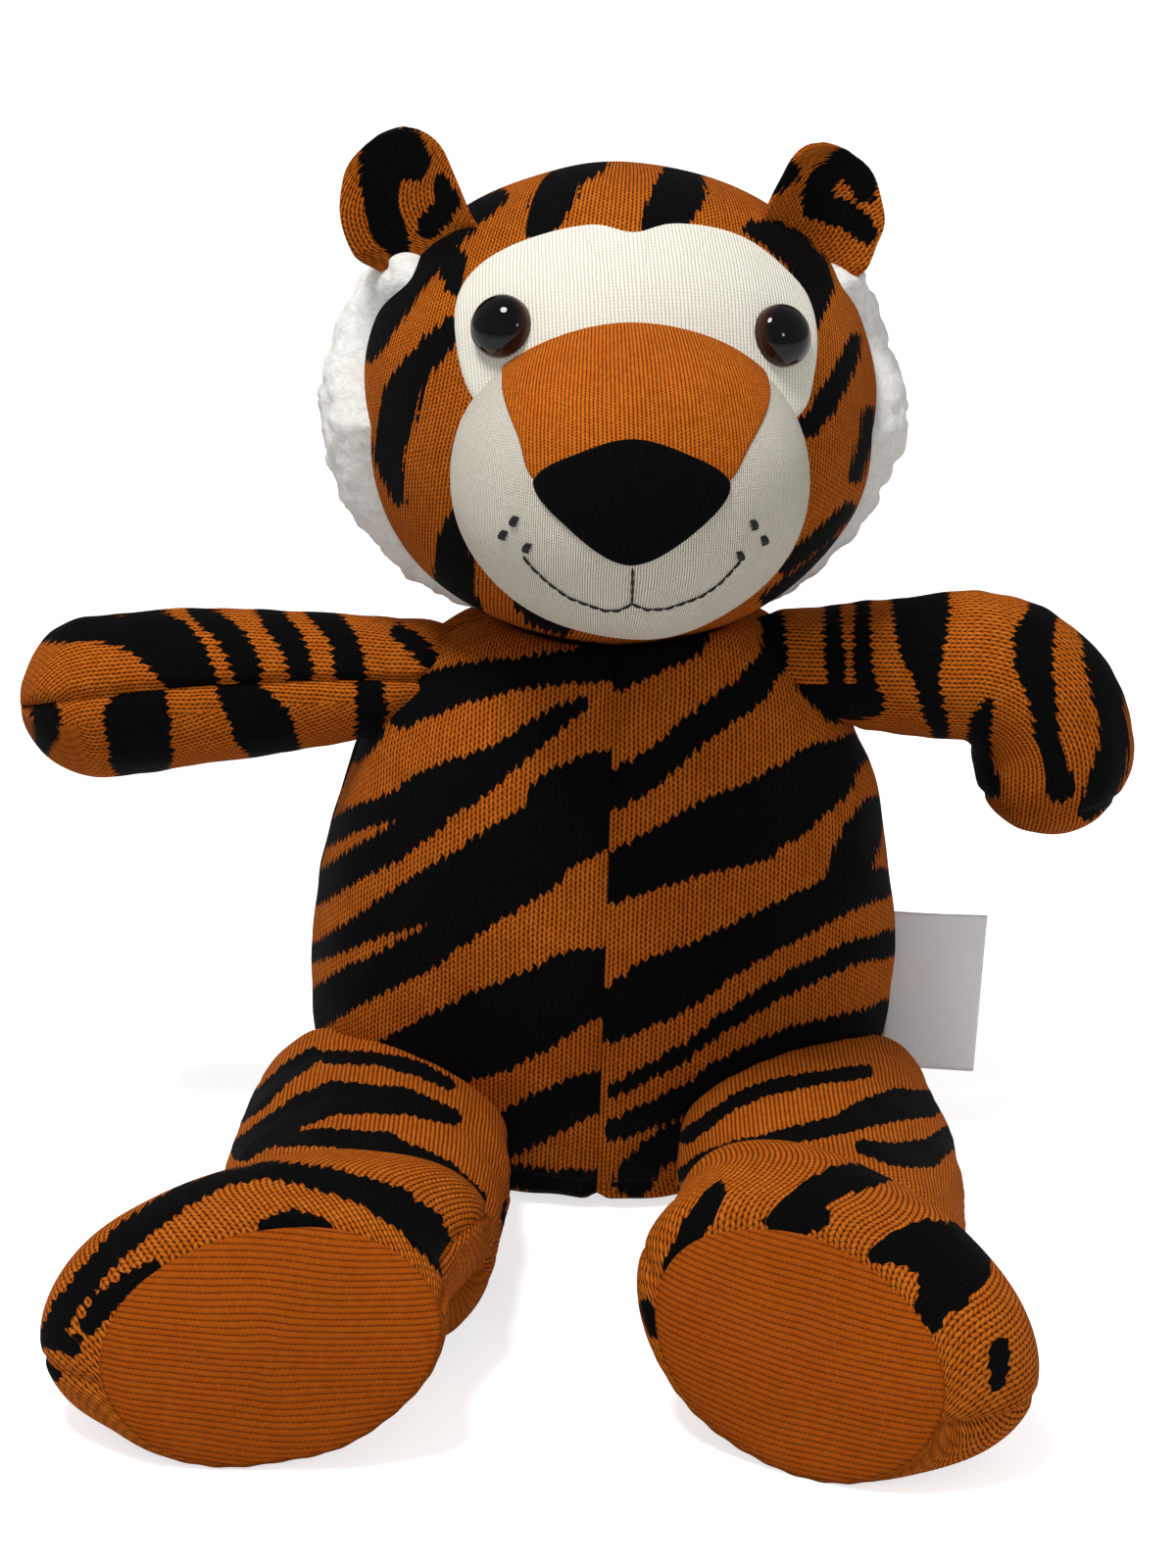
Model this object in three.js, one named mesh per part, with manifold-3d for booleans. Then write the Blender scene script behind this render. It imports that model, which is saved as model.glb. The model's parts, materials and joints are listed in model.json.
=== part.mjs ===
// A seated plush tiger, 340 mm across its arms and 315 mm tall, sewn from knitted panels over stuffing.
// Millimetres, +Z up. The face looks along -Y, and the middle of the seat's underside is the origin.
// Side names are the toy's own: its left arm, leg, ear and eye are on +X.
import * as THREE from "three";
import { mergeVertices } from "three/addons/utils/BufferGeometryUtils.js";
import Module from "manifold-3d";

const wasm = await Module();
wasm.setup();

// Cloth and fit
const clothThickness = 2;
const clearance = 0.3;
const socketClearance = 1.2;
const fillingClearance = 0.9;
const floorSink = 0.5;
const cutterOverrun = 40;
const floorReach = 800;
const roundError = 1e-6;
const capShare = 0.2;

// Torso
const torsoHeight = 172;
const torsoWidth = 181;
const bellyDepth = 64;
const backDepth = 58;
const seatSeamHeight = 8;
const torsoSeatOffset = -2;
const torsoLean = 5.5;

// Neck and head
const headWidth = 144;
const headDepth = 144;
const headHeight = 146;
const headBackSwell = 12;
const headBackSag = 8;
const headCentreX = 4.5;
const headCentreY = 2;
const headRise = 61.5;
const headTurnDegrees = 4;
const headRollDegrees = 1.8;
const headSeamDegrees = 78;
const headSeamTopDegrees = 46;
const headSeamChinDegrees = 18;
const sherpaPile = 8;
const sherpaCrownShare = 0.25;
const neckBallRadius = 74;
const neckClearance = 0.8;
const headRoomOverArms = 1.5;

// Muzzle, nose and forehead
const muzzleWidth = 103;
const muzzleHeight = 90;
const muzzleReach = 56;
const muzzleSetForward = 55;
const muzzleDrop = 5;
const muzzleShift = -3;
const bridgeWidth = 75;
const bridgeSideHeight = 28;
const noseWidth = 56;
const noseSideHeight = 11;
const noseTopHeight = 25;
const noseTipHeight = -11;
const noseFullnessShare = 0.83;
const noseFullnessDropShare = 0.35;
const foreheadWidth = 103;
const foreheadTop = 64;
const foreheadBottom = 13;

// Safety eyes
const eyeDiameter = 18;
const eyeRise = 7.5;
const eyeRimHeight = 1;
const eyeSpacing = 78;
const eyeHeight = 35.5;
const eyeShankDiameter = 4.5;
const eyeShankLength = 11;
const eyeSeatGap = 0.6;
const eyeWasherDiameter = 15;
const eyeWasherThickness = 1.6;
const eyeWasherDepth = 4.5;

// Ears
const earWidth = 40;
const earHeight = 43;
const earThickness = 6;
const earCup = 12;
const earSpacing = 102;
const earShift = -4;
const earRootHeight = 39;
const earRootBack = 0;
const earSplayDegrees = 19;
const earTurnDegrees = 14;

// Arms
const shoulderSpacing = 128;
const shoulderShift = 2;
const rightShoulderDrop = 21.5;
const leftShoulderDrop = 17.5;
const armRootHalfHeight = 17.5;
const armRootHalfDepth = 20.5;
const pawHalfHeight = 24.5;
const pawHalfDepth = 25.5;
const rightArmReach = 90;
const rightArmDrop = 6;
const leftUpperArm = 43;
const elbowBendRadius = 28;
const rightArmLoweringDegrees = 30;
const leftArmLoweringDegrees = 25;

// Legs
const hipSpacing = 132;
const hipShift = -3;
const hipSetForward = 28;
const hipHalfWidth = 37;
const hipHalfHeight = 24.5;
const thighSwell = 4;
const ankleHalfWidth = 38;
const ankleHalfHeight = 28.8;
const legLength = 116;
const legSwingDegrees = 75;

// Feet
const footLength = 113;
const footHeight = 65;
const footDepth = 60;
const rightFootToeShift = 29;
const leftFootToeShift = 22;
const soleCrown = 5;
const soleTiltShare = 0.34;
const footRollDegrees = 14;
const rightFootTurnDegrees = 1;
const leftFootTurnDegrees = -30;
const footSwingDegrees = 15;

// Tail
const tailLength = 88;
const tailRadius = 12;
const tailCurl = 18;
const tailPivotBack = 50;
const tailSwingDegrees = 25;

// Side label
const labelHeight = 52;
const labelReach = 27;
const labelPly = 0.4;
const labelFoldGap = 0.8;
const labelBottom = 22;
const labelRootInside = 8;
const labelRootGap = 0.8;
const labelDroopDegrees = 3;

// Facet counts
const torsoTurns = 24;
const torsoRows = 12;
const seatRows = 3;
const headTurns = 24;
const faceRows = 5;
const headBackRows = 6;
const muzzleTurns = 24;
const muzzleRows = 8;
const muzzleFrontRows = 5;
const curvePoints = 6;
const limbTurns = 12;
const capRows = 3;
const armRows = 6;
const elbowSteps = 4;
const legRows = 3;
const footTurns = 16;
const footRows = 5;
const soleRows = 2;
const tailTurns = 12;
const tailRows = 4;
const roundTurns = 16;
const ballTurns = 32;
const socketTurns = 16;
const socketRows = 8;
const eyeRows = 4;
const earTurns = 12;
const earRows = 5;
const armSweepSteps = 3;
const labelFoldSteps = 4;
const legSweepSteps = 3;

// Colours
const rustKnit = new THREE.MeshStandardMaterial({ color: 0xb85c16, roughness: 0.95, metalness: 0 });
const soleKnit = new THREE.MeshStandardMaterial({ color: 0xa04b0f, roughness: 0.95, metalness: 0 });
const creamKnit = new THREE.MeshStandardMaterial({ color: 0xf0ecdc, roughness: 0.95, metalness: 0 });
const blackKnit = new THREE.MeshStandardMaterial({ color: 0x16171a, roughness: 0.95, metalness: 0 });
const sherpa = new THREE.MeshStandardMaterial({ color: 0xe6e3dc, roughness: 1, metalness: 0 });
const eyePlastic = new THREE.MeshStandardMaterial({ color: 0x0c0807, roughness: 0.08, metalness: 0 });
const washerPlastic = new THREE.MeshStandardMaterial({ color: 0xe8e8e4, roughness: 0.5, metalness: 0 });
const satin = new THREE.MeshStandardMaterial({ color: 0xf4f4f4, roughness: 0.45, metalness: 0 });
const stuffing = new THREE.MeshStandardMaterial({ color: 0xfafafa, roughness: 1, metalness: 0 });

const tiger = new THREE.Group();

// A closed mesh as a solid, with its faces turned outwards.
function solidFrom(geometry) {
  const bare = geometry.index ? geometry.toNonIndexed() : geometry.clone();
  const positions = new THREE.BufferGeometry();
  positions.setAttribute("position", bare.getAttribute("position"));
  const merged = mergeVertices(positions);
  const corners = merged.index.array;
  const faces = [];
  for (let i = 0; i < corners.length; i += 3) {
    const [a, b, c] = [corners[i], corners[i + 1], corners[i + 2]];
    if (a !== b && b !== c && c !== a) faces.push(a, b, c);
  }
  const build = (triVerts) =>
    new wasm.Manifold(
      new wasm.Mesh({
        numProp: 3,
        vertProperties: merged.getAttribute("position").array,
        triVerts: new Uint32Array(triVerts),
      }),
    );
  const solid = build(faces);
  if (solid.volume() > 0) return solid;
  return build(faces.reverse());
}

function geometryFrom(solid) {
  const { vertProperties, triVerts } = solid.getMesh();
  const geometry = new THREE.BufferGeometry();
  geometry.setAttribute("position", new THREE.BufferAttribute(vertProperties, 3));
  geometry.setIndex(new THREE.BufferAttribute(triVerts, 1));
  const faceted = geometry.toNonIndexed();
  faceted.computeVertexNormals();
  return faceted;
}

function addPiece(group, name, solid, material) {
  const mesh = new THREE.Mesh(geometryFrom(solid), material);
  mesh.name = name;
  group.add(mesh);
}

const cut = (solid, ...tools) => tools.reduce((rest, tool) => rest.subtract(tool), solid);
const moved = (geometry, matrix) => geometry.clone().applyMatrix4(matrix);
const spread = (from, to, count) =>
  Array.from({ length: count + 1 }, (_, i) => from + ((to - from) * i) / count);
const radians = THREE.MathUtils.degToRad;

// A form gives a point for the way along it, 0 to 1 from pole to pole, the angle round it and a growth
// that every half size gets, so a cloth's inner face and a filling follow the same shape.
function gridOf(form, alongs, arounds, growth) {
  return alongs.map((along) => arounds.map((around) => form(along, around, growth)));
}

function addGrid(corners, grid, flipped) {
  for (let i = 0; i + 1 < grid.length; i++)
    for (let j = 0; j + 1 < grid[i].length; j++) {
      const quad = [grid[i][j], grid[i][j + 1], grid[i + 1][j + 1], grid[i + 1][j]];
      const [a, b, c, d] = flipped ? quad.reverse() : quad;
      corners.push(a, b, c, a, c, d);
    }
}

function solidFromCorners(corners) {
  return solidFrom(new THREE.BufferGeometry().setFromPoints(corners));
}

// The whole stuffed shape, grown or shrunk.
function wholeForm(form, alongs, turns, growth) {
  const grid = gridOf(form, alongs, spread(0, 2 * Math.PI, turns), growth);
  for (const row of grid) row[turns] = row[0];
  const corners = [];
  addGrid(corners, grid, false);
  return solidFromCorners(corners);
}

// A panel of cloth on the form, between two angles or all round. Its inner face follows the same form,
// or another one under the pile.
function panel(form, alongs, arounds, innerForm = form) {
  const outside = gridOf(form, alongs, arounds, 0);
  const inside = gridOf(innerForm, alongs, arounds, -clothThickness);
  const last = arounds.length - 1;
  const allRound = Math.abs(Math.abs(arounds[last] - arounds[0]) - 2 * Math.PI) < roundError;
  if (allRound) for (const row of [...outside, ...inside]) row[last] = row[0];
  const corners = [];
  addGrid(corners, outside, false);
  addGrid(corners, inside, true);
  for (const j of allRound ? [] : [0, last]) {
    const edge = outside.map((row, i) => [row[j], inside[i][j]]);
    addGrid(corners, edge, j === 0);
  }
  for (const i of [0, alongs.length - 1]) {
    const atPole = alongs[i] === 0 || alongs[i] === 1;
    if (!atPole) addGrid(corners, [outside[i], inside[i]], i === 0);
  }
  return solidFromCorners(corners);
}

// Angles from one seam to the next, held back from each by half the clearance at the given radius.
function seamToSeam(from, to, count, radius) {
  const backOff = clearance / 2 / radius;
  return spread(from + backOff, to - backOff, count);
}

// Section sizes that run smoothly through a table's rows, read at a share of the way down the table.
function smoothTable(rows) {
  const firstThree = new THREE.CatmullRomCurve3(rows.map((row) => new THREE.Vector3(...row)));
  const fourth = new THREE.CatmullRomCurve3(rows.map(([a, , , d]) => new THREE.Vector3(a, d, 0)));
  for (const curve of [firstThree, fourth]) curve.curveType = "centripetal";
  return (share) => [...firstThree.getPoint(share).toArray(), fourth.getPoint(share).y];
}

function box(width, depth, height, x, y, z) {
  return solidFrom(new THREE.BoxGeometry(width, depth, height).translate(x, y, z));
}

// The space under the floor, which flattens what the toy rests on.
const belowHeight = (height) =>
  box(floorReach, floorReach, cutterOverrun, 0, 0, height - cutterOverrun / 2);
const underFloor = belowHeight(0);

// The torso: each row is a height, half width, depth in front and depth behind, as shares.
const torsoSectionShares = [
  [0, 0.61, 0.56, 0.59],
  [0.016, 0.82, 0.83, 0.79],
  [0.047, 0.885, 0.9, 0.86],
  [0.145, 0.965, 0.96, 0.94],
  [0.29, 1, 1, 0.99],
  [0.44, 0.99, 1, 1],
  [0.58, 0.945, 0.96, 0.965],
  [0.72, 0.875, 0.875, 0.88],
  [0.84, 0.76, 0.75, 0.765],
  [0.93, 0.61, 0.61, 0.64],
  [0.98, 0.44, 0.45, 0.5],
  [1, 0.2, 0.2, 0.24],
];
const torsoSections = smoothTable(torsoSectionShares);
const torsoEndShare = 0.05;
const torsoMiddleX = (z) => torsoSeatOffset + (torsoLean * z) / torsoHeight;
function torsoForm(along, around, growth) {
  const rowShare = THREE.MathUtils.clamp((along - torsoEndShare) / (1 - 2 * torsoEndShare), 0, 1);
  const endShare = Math.min(along, 1 - along, torsoEndShare) / torsoEndShare;
  const [heightShare, widthShare, frontShare, backShare] = torsoSections(rowShare);
  const z = heightShare * (torsoHeight + floorSink + 2 * growth) - floorSink - growth;
  const halfWidth = widthShare * (torsoWidth / 2) + growth;
  const depth = (Math.sin(around) < 0 ? frontShare * bellyDepth : backShare * backDepth) + growth;
  return new THREE.Vector3(
    torsoMiddleX(z) + endShare * halfWidth * Math.cos(around),
    endShare * depth * Math.sin(around),
    z,
  );
}

// A limb runs along a spine, with half sizes along its hinge and across it. Both ends are rounded
// about the hinge, so that each turns in its socket.
function limbForm({ spine, hinge, halfAcross, halfUp }) {
  return (along, around, growth) => {
    const toRoot = Math.max(0, capShare - along) / capShare;
    const toTip = Math.max(0, along - (1 - capShare)) / capShare;
    const spineShare = THREE.MathUtils.clamp((along - capShare) / (1 - 2 * capShare), 0, 1);
    const forward = spine.getTangentAt(spineShare);
    const up = new THREE.Vector3().crossVectors(forward, hinge).normalize();
    const capAngle = ((toTip - toRoot) * Math.PI) / 2;
    const across = halfAcross(spineShare) + growth;
    const height = halfUp(spineShare) + growth;
    return spine
      .getPointAt(spineShare)
      .addScaledVector(forward, height * Math.sin(capAngle))
      .addScaledVector(hinge, across * Math.cos(capAngle) * Math.cos(around))
      .addScaledVector(up, height * Math.cos(capAngle) * Math.sin(around));
  };
}

function limbAlongs(rows) {
  const shaft = spread(capShare, 1 - capShare, rows);
  return [...spread(0, capShare, capRows), ...shaft.slice(1), ...spread(1 - capShare, 1, capRows).slice(1)];
}

// Turns a solid's form about a hinge through a point, to clear the way of a moving limb.
function turnedForm(form, pivot, hinge, degrees) {
  return (along, around, growth) =>
    form(along, around, growth).sub(pivot).applyAxisAngle(hinge, radians(degrees)).add(pivot);
}

function sweepOf(form, alongs, turns, pivot, hinge, swings) {
  return swings.map((degrees) =>
    wholeForm(turnedForm(form, pivot, hinge, degrees), alongs, turns, clearance),
  );
}

// The egg that a limb's rounded end turns in: as wide as the limb along its hinge, and round about it.
function socket(centre, hinge, halfWidth, halfHeight) {
  const profile = spread(-Math.PI / 2, Math.PI / 2, socketRows).map(
    (angle) =>
      new THREE.Vector2(
        Math.max(0, (halfHeight + socketClearance) * Math.cos(angle)),
        (halfWidth + socketClearance) * Math.sin(angle),
      ),
  );
  for (const end of [profile[0], profile[socketRows]]) end.x = 0;
  const facing = new THREE.Quaternion().setFromUnitVectors(alongY, hinge);
  const matrix = new THREE.Matrix4().compose(centre, facing, new THREE.Vector3(1, 1, 1));
  return solidFrom(moved(new THREE.LatheGeometry(profile, socketTurns), matrix));
}

const alongX = new THREE.Vector3(1, 0, 0);
const alongY = new THREE.Vector3(0, 1, 0);
const alongZ = new THREE.Vector3(0, 0, 1);
const swell = (from, to, share) => from + (to - from) * Math.sin((share * Math.PI) / 2);

// Arms: the right one points straight out, and the left one bends down at the elbow.
const rightShoulder = new THREE.Vector3(
  shoulderShift - shoulderSpacing / 2,
  0,
  torsoHeight - rightShoulderDrop,
);
const leftShoulder = new THREE.Vector3(
  shoulderShift + shoulderSpacing / 2,
  0,
  torsoHeight - leftShoulderDrop,
);
const rightArmPath = [
  rightShoulder,
  rightShoulder.clone().add(new THREE.Vector3(-rightArmReach / 2, 0, -rightArmDrop / 4)),
  rightShoulder.clone().add(new THREE.Vector3(-rightArmReach, 0, -rightArmDrop)),
];
const elbow = leftShoulder.clone().add(new THREE.Vector3(leftUpperArm, 0, -elbowBendRadius));
const leftArmPath = [
  leftShoulder,
  leftShoulder.clone().add(new THREE.Vector3(leftUpperArm / 2, 0, 0)),
  ...spread(Math.PI / 2, 0, elbowSteps).map((angle) =>
    new THREE.Vector3(Math.cos(angle), 0, Math.sin(angle)).multiplyScalar(elbowBendRadius).add(elbow),
  ),
];
function armForm(path, hinge) {
  return limbForm({
    spine: new THREE.CatmullRomCurve3(path),
    hinge,
    halfAcross: (share) => swell(armRootHalfDepth, pawHalfDepth, share),
    halfUp: (share) => swell(armRootHalfHeight, pawHalfHeight, share),
  });
}
const arms = [
  {
    side: "right",
    shoulder: rightShoulder,
    form: armForm(rightArmPath, alongY.clone().negate()),
    lower: -rightArmLoweringDegrees,
  },
  {
    side: "left",
    shoulder: leftShoulder,
    form: armForm(leftArmPath, alongY),
    lower: leftArmLoweringDegrees,
  },
];

// Legs lie on the floor, side by side, and their rounded roots turn in the hips.
const legHalfWidth = (share) =>
  THREE.MathUtils.lerp(hipHalfWidth, ankleHalfWidth, share) + thighSwell * Math.sin(share * Math.PI);
const legHalfHeight = (share) => THREE.MathUtils.lerp(hipHalfHeight, ankleHalfHeight, share);
const legs = ["right", "left"].map((side) => {
  const x = hipShift + (side === "left" ? hipSpacing : -hipSpacing) / 2;
  const hip = new THREE.Vector3(x, -hipSetForward, hipHalfHeight - floorSink);
  const ankle = new THREE.Vector3(x, -hipSetForward - legLength, ankleHalfHeight - floorSink);
  const form = limbForm({
    spine: new THREE.LineCurve3(hip, ankle),
    hinge: alongX,
    halfAcross: legHalfWidth,
    halfUp: legHalfHeight,
  });
  return { side, hip, ankle, form };
});

// The tail lies on the floor behind the seat and curls to one side.
const tailRoot = new THREE.Vector3(0, tailPivotBack, tailRadius - floorSink);
const tailForm = limbForm({
  spine: new THREE.CatmullRomCurve3([
    tailRoot,
    tailRoot.clone().add(new THREE.Vector3(0, tailLength / 2, 0)),
    tailRoot.clone().add(new THREE.Vector3(tailCurl, tailLength, 0)),
  ]),
  hinge: alongZ,
  halfAcross: () => tailRadius,
  halfUp: () => tailRadius,
});

// Sockets, and the way that each limb needs as it swings, are cleared in the torso.
function swingWedge(hip) {
  const sector = new THREE.Shape();
  sector.absarc(0, 0, bellyDepth, 0, radians(legSwingDegrees), false);
  sector.lineTo(0, 0);
  const halfWidth = legHalfWidth(bellyDepth / legLength) + clearance;
  const wedge = new THREE.ExtrudeGeometry(sector, {
    depth: 2 * halfWidth,
    steps: 1,
    bevelEnabled: false,
    curveSegments: legSweepSteps,
  });
  const forward = alongY.clone().negate();
  const down = alongZ.clone().negate();
  const placed = new THREE.Matrix4().makeBasis(forward, down, alongX);
  placed.setPosition(hip.clone().addScaledVector(alongX, -halfWidth));
  return solidFrom(moved(wedge, placed));
}
const armAlongs = limbAlongs(armRows);
const legAlongs = limbAlongs(legRows);
const tailAlongs = limbAlongs(tailRows);
const armSpaces = arms.flatMap(({ form, shoulder, lower }) => [
  socket(shoulder, alongY, armRootHalfDepth, armRootHalfHeight),
  ...sweepOf(form, armAlongs, limbTurns, shoulder, alongY, spread(0, lower, armSweepSteps)),
]);
const legSpaces = legs.flatMap(({ form, hip }) => [
  socket(hip, alongX, hipHalfWidth, hipHalfHeight),
  swingWedge(hip),
  ...sweepOf(form, legAlongs, limbTurns, hip, alongX, [0, legSwingDegrees]),
]);
const tailSpaces = [
  socket(tailRoot, alongZ, tailRadius, tailRadius),
  ...sweepOf(tailForm, tailAlongs, tailTurns, tailRoot, alongZ, [-tailSwingDegrees, 0, tailSwingDegrees]),
];
const headCentre = new THREE.Vector3(headCentreX, headCentreY, torsoHeight + headRise);
function ball(radius, centre) {
  const sphere = new THREE.SphereGeometry(radius, ballTurns, ballTurns / 2);
  return solidFrom(sphere.translate(centre.x, centre.y, centre.z));
}
const neckDish = ball(neckBallRadius + neckClearance, headCentre);
const torsoTools = [underFloor, neckDish, ...tailSpaces, ...armSpaces, ...legSpaces];

const torsoAlongs = spread(0, 1, torsoRows);
const torso = new THREE.Group();
tiger.add(torso);
const torsoPanels = [
  ["torso_back_left", 0, Math.PI / 2],
  ["torso_back_right", Math.PI / 2, Math.PI],
  ["torso_front_right", Math.PI, 1.5 * Math.PI],
  ["torso_front_left", 1.5 * Math.PI, 2 * Math.PI],
];
const belowSeatSeam = belowHeight(seatSeamHeight);
const seatSpace = belowHeight(seatSeamHeight + clearance);
for (const [name, from, to] of torsoPanels) {
  const angles = seamToSeam(from, to, torsoTurns / 4, bellyDepth);
  addPiece(torso, name, cut(panel(torsoForm, torsoAlongs, angles), seatSpace, ...torsoTools), rustKnit);
}
const fullTurn = (turns) => spread(0, 2 * Math.PI, turns);
const seatCloth = panel(torsoForm, torsoAlongs.slice(0, seatRows + 1), fullTurn(torsoTurns));
addPiece(torso, "seat_panel", cut(seatCloth.intersect(belowSeatSeam), ...torsoTools), rustKnit);
const fillingShrink = -(clothThickness + fillingClearance);
const torsoFilling = wholeForm(torsoForm, torsoAlongs, torsoTurns / 2, fillingShrink);
addPiece(torso, "torso_filling", cut(torsoFilling, ...torsoTools), stuffing);

function addLimb(seamRadius, form, alongs, turns, tools) {
  const limb = new THREE.Group();
  tiger.add(limb);
  const upper = panel(form, alongs, seamToSeam(0, Math.PI, turns / 2, seamRadius));
  const lower = panel(form, alongs, seamToSeam(Math.PI, 2 * Math.PI, turns / 2, seamRadius));
  const core = wholeForm(form, alongs, turns / 2, fillingShrink);
  return { limb, upper: cut(upper, ...tools), lower: cut(lower, ...tools), core: cut(core, ...tools) };
}

for (const { side, form } of arms) {
  const { limb, upper, lower, core } = addLimb(pawHalfDepth, form, armAlongs, limbTurns, []);
  addPiece(limb, `arm_${side}_upper_panel`, upper, rustKnit);
  addPiece(limb, `arm_${side}_lower_panel`, lower, rustKnit);
  addPiece(limb, `arm_${side}_filling`, core, stuffing);
}

for (const { side, form } of legs) {
  const { limb, upper, lower, core } = addLimb(ankleHalfWidth, form, legAlongs, limbTurns, [underFloor]);
  addPiece(limb, `leg_${side}_upper_panel`, upper, rustKnit);
  addPiece(limb, `leg_${side}_lower_panel`, lower, rustKnit);
  addPiece(limb, `leg_${side}_filling`, core, stuffing);
}

const tailParts = addLimb(tailRadius, tailForm, tailAlongs, tailTurns, [underFloor]);
addPiece(tailParts.limb, "tail_left_panel", tailParts.upper, rustKnit);
addPiece(tailParts.limb, "tail_right_panel", tailParts.lower, rustKnit);
addPiece(tailParts.limb, "tail_filling", tailParts.core, stuffing);

// Feet: each row is a depth, half length, half height and shift to the toe, as shares of the foot's sizes.
const footSectionShares = [
  [0, 0.5, 0.55, 0],
  [0.05, 0.74, 0.78, 0.15],
  [0.2, 0.92, 0.94, 0.5],
  [0.45, 1, 1, 0.9],
  [0.7, 0.99, 1, 1],
  [0.9, 0.92, 0.985, 0.85],
  [1, 0.83, 0.965, 0.72],
];
const footSections = smoothTable(footSectionShares);
const footEndShare = 0.12;
function footForm(toeShift, turn, ankle) {
  const roll = radians(Math.sign(toeShift) * footRollDegrees);
  const middleHeight = Math.hypot((footLength / 2) * Math.sin(roll), (footHeight / 2) * Math.cos(roll));
  return (along, around, growth) => {
    const rowShare = THREE.MathUtils.clamp((along - footEndShare) / (1 - 2 * footEndShare), 0, 1);
    const endShare = Math.min(along, 1 - along, footEndShare) / footEndShare;
    const [depthShare, lengthShare, heightShare, shiftShare] = footSections(rowShare);
    const soleShare = along > 0.5 ? 1 - endShare * endShare : 0;
    const lengthwise = endShare * ((lengthShare * footLength) / 2 + growth) * Math.cos(around);
    const upward = endShare * ((heightShare * footHeight) / 2 + growth) * Math.sin(around);
    const depth = depthShare * (footDepth + 2 * growth) - growth + soleCrown * soleShare;
    return new THREE.Vector3(lengthwise, -depth + soleTiltShare * depthShare * upward, upward)
      .applyAxisAngle(alongY, roll)
      .add(new THREE.Vector3(shiftShare * toeShift, 0, middleHeight - ankleHalfHeight))
      .applyAxisAngle(alongZ, radians(turn))
      .add(ankle);
  };
}
const footAlongs = [0, ...spread(footEndShare, 1 - footEndShare, footRows)];
const soleAlongs = spread(1 - footEndShare, 1, soleRows);
const soleSeamShare = clearance / 2 / footDepth;
for (const { side, ankle, form } of legs) {
  const foot = new THREE.Group();
  tiger.add(foot);
  const isLeft = side === "left";
  const toeShift = isLeft ? leftFootToeShift : -rightFootToeShift;
  const shape = footForm(toeShift, isLeft ? leftFootTurnDegrees : rightFootTurnDegrees, ankle);
  const tools = [
    underFloor,
    socket(ankle, alongX, ankleHalfWidth, ankleHalfHeight),
    ...sweepOf(form, legAlongs, limbTurns, ankle, alongX, [-footSwingDegrees, 0, footSwingDegrees]),
  ];
  const upperAlongs = [...footAlongs.slice(0, -1), 1 - footEndShare - soleSeamShare];
  const solePanelAlongs = [1 - footEndShare + soleSeamShare, ...soleAlongs.slice(1)];
  const top = panel(shape, upperAlongs, seamToSeam(0, Math.PI, footTurns / 2, footLength / 2));
  const bottom = panel(shape, upperAlongs, seamToSeam(Math.PI, 2 * Math.PI, footTurns / 2, footLength / 2));
  const sole = panel(shape, solePanelAlongs, fullTurn(footTurns));
  const core = wholeForm(shape, [...footAlongs, ...soleAlongs.slice(1)], footTurns / 2, fillingShrink);
  addPiece(foot, `foot_${side}_top_panel`, cut(top, ...tools), rustKnit);
  addPiece(foot, `foot_${side}_bottom_panel`, cut(bottom, ...tools), rustKnit);
  addPiece(foot, `foot_${side}_sole`, cut(sole, ...tools), soleKnit);
  addPiece(foot, `foot_${side}_filling`, cut(core, ...tools), stuffing);
}

// The head hangs from its own centre, a little turned and tilted.
const head = new THREE.Group();
head.position.copy(headCentre);
head.rotation.set(0, radians(headRollDegrees), radians(headTurnDegrees), "ZYX");
head.updateMatrixWorld(true);
tiger.add(head);

// Its poles are the face and the back, it swells and sags to the back, and the seam between the knit
// face and the sherpa back leans from behind the ears to under the chin.
function headForm(along, around, growth) {
  const lean = Math.sin(around) > 0 ? headSeamTopDegrees : headSeamChinDegrees;
  const plainAngle = along * Math.PI;
  const angle = plainAngle + radians(lean) * Math.sin(around) * Math.sin(plainAngle);
  const backShare = (1 - Math.cos(angle)) / 2;
  const halfWidth = headWidth / 2 + headBackSwell * backShare + growth;
  const halfHeight = headHeight / 2 + growth;
  const sag = (headBackSag * backShare * (1 - Math.sin(around))) / 2;
  return new THREE.Vector3(
    halfWidth * Math.sin(angle) * Math.cos(around),
    -(headDepth / 2 + growth) * Math.cos(angle),
    halfHeight * Math.sin(angle) * Math.sin(around) - sag * Math.sin(plainAngle),
  );
}
// The sherpa's pile stands off the same shape, and lies flat towards the crown.
function sherpaForm(along, around, growth) {
  const towardsCrown = (Math.max(0, Math.sin(around)) * Math.sin(along * Math.PI)) ** 2;
  const pile = sherpaPile * (1 - (1 - sherpaCrownShare) * towardsCrown);
  return headForm(along, around, growth + pile);
}
const headSeamShare = headSeamDegrees / 180;
const headSeamGapShare = clearance / 2 / headDepth;
const faceAlongs = spread(0, headSeamShare - headSeamGapShare, faceRows);
const backAlongs = spread(headSeamShare + headSeamGapShare, 1, headBackRows);
const headAlongs = [...faceAlongs, ...backAlongs];

// Where a form's surface lies over a point of its front view, with the way out of the surface there.
const settleSteps = 30;
const shortStep = 1e-3;
function placeOn(form, x, z) {
  let along = 0.25;
  let around = Math.atan2(z, x);
  for (let i = 0; i < settleSteps; i++) {
    const point = form(along, around, 0);
    along *= Math.hypot(x, z) / Math.hypot(point.x, point.z);
    around += Math.atan2(z, x) - Math.atan2(point.z, point.x);
  }
  const point = form(along, around, 0);
  const sideways = form(along, around + shortStep, 0).sub(point);
  const lengthways = form(along + shortStep, around, 0).sub(point);
  return { point, out: lengthways.cross(sideways).normalize() };
}

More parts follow.
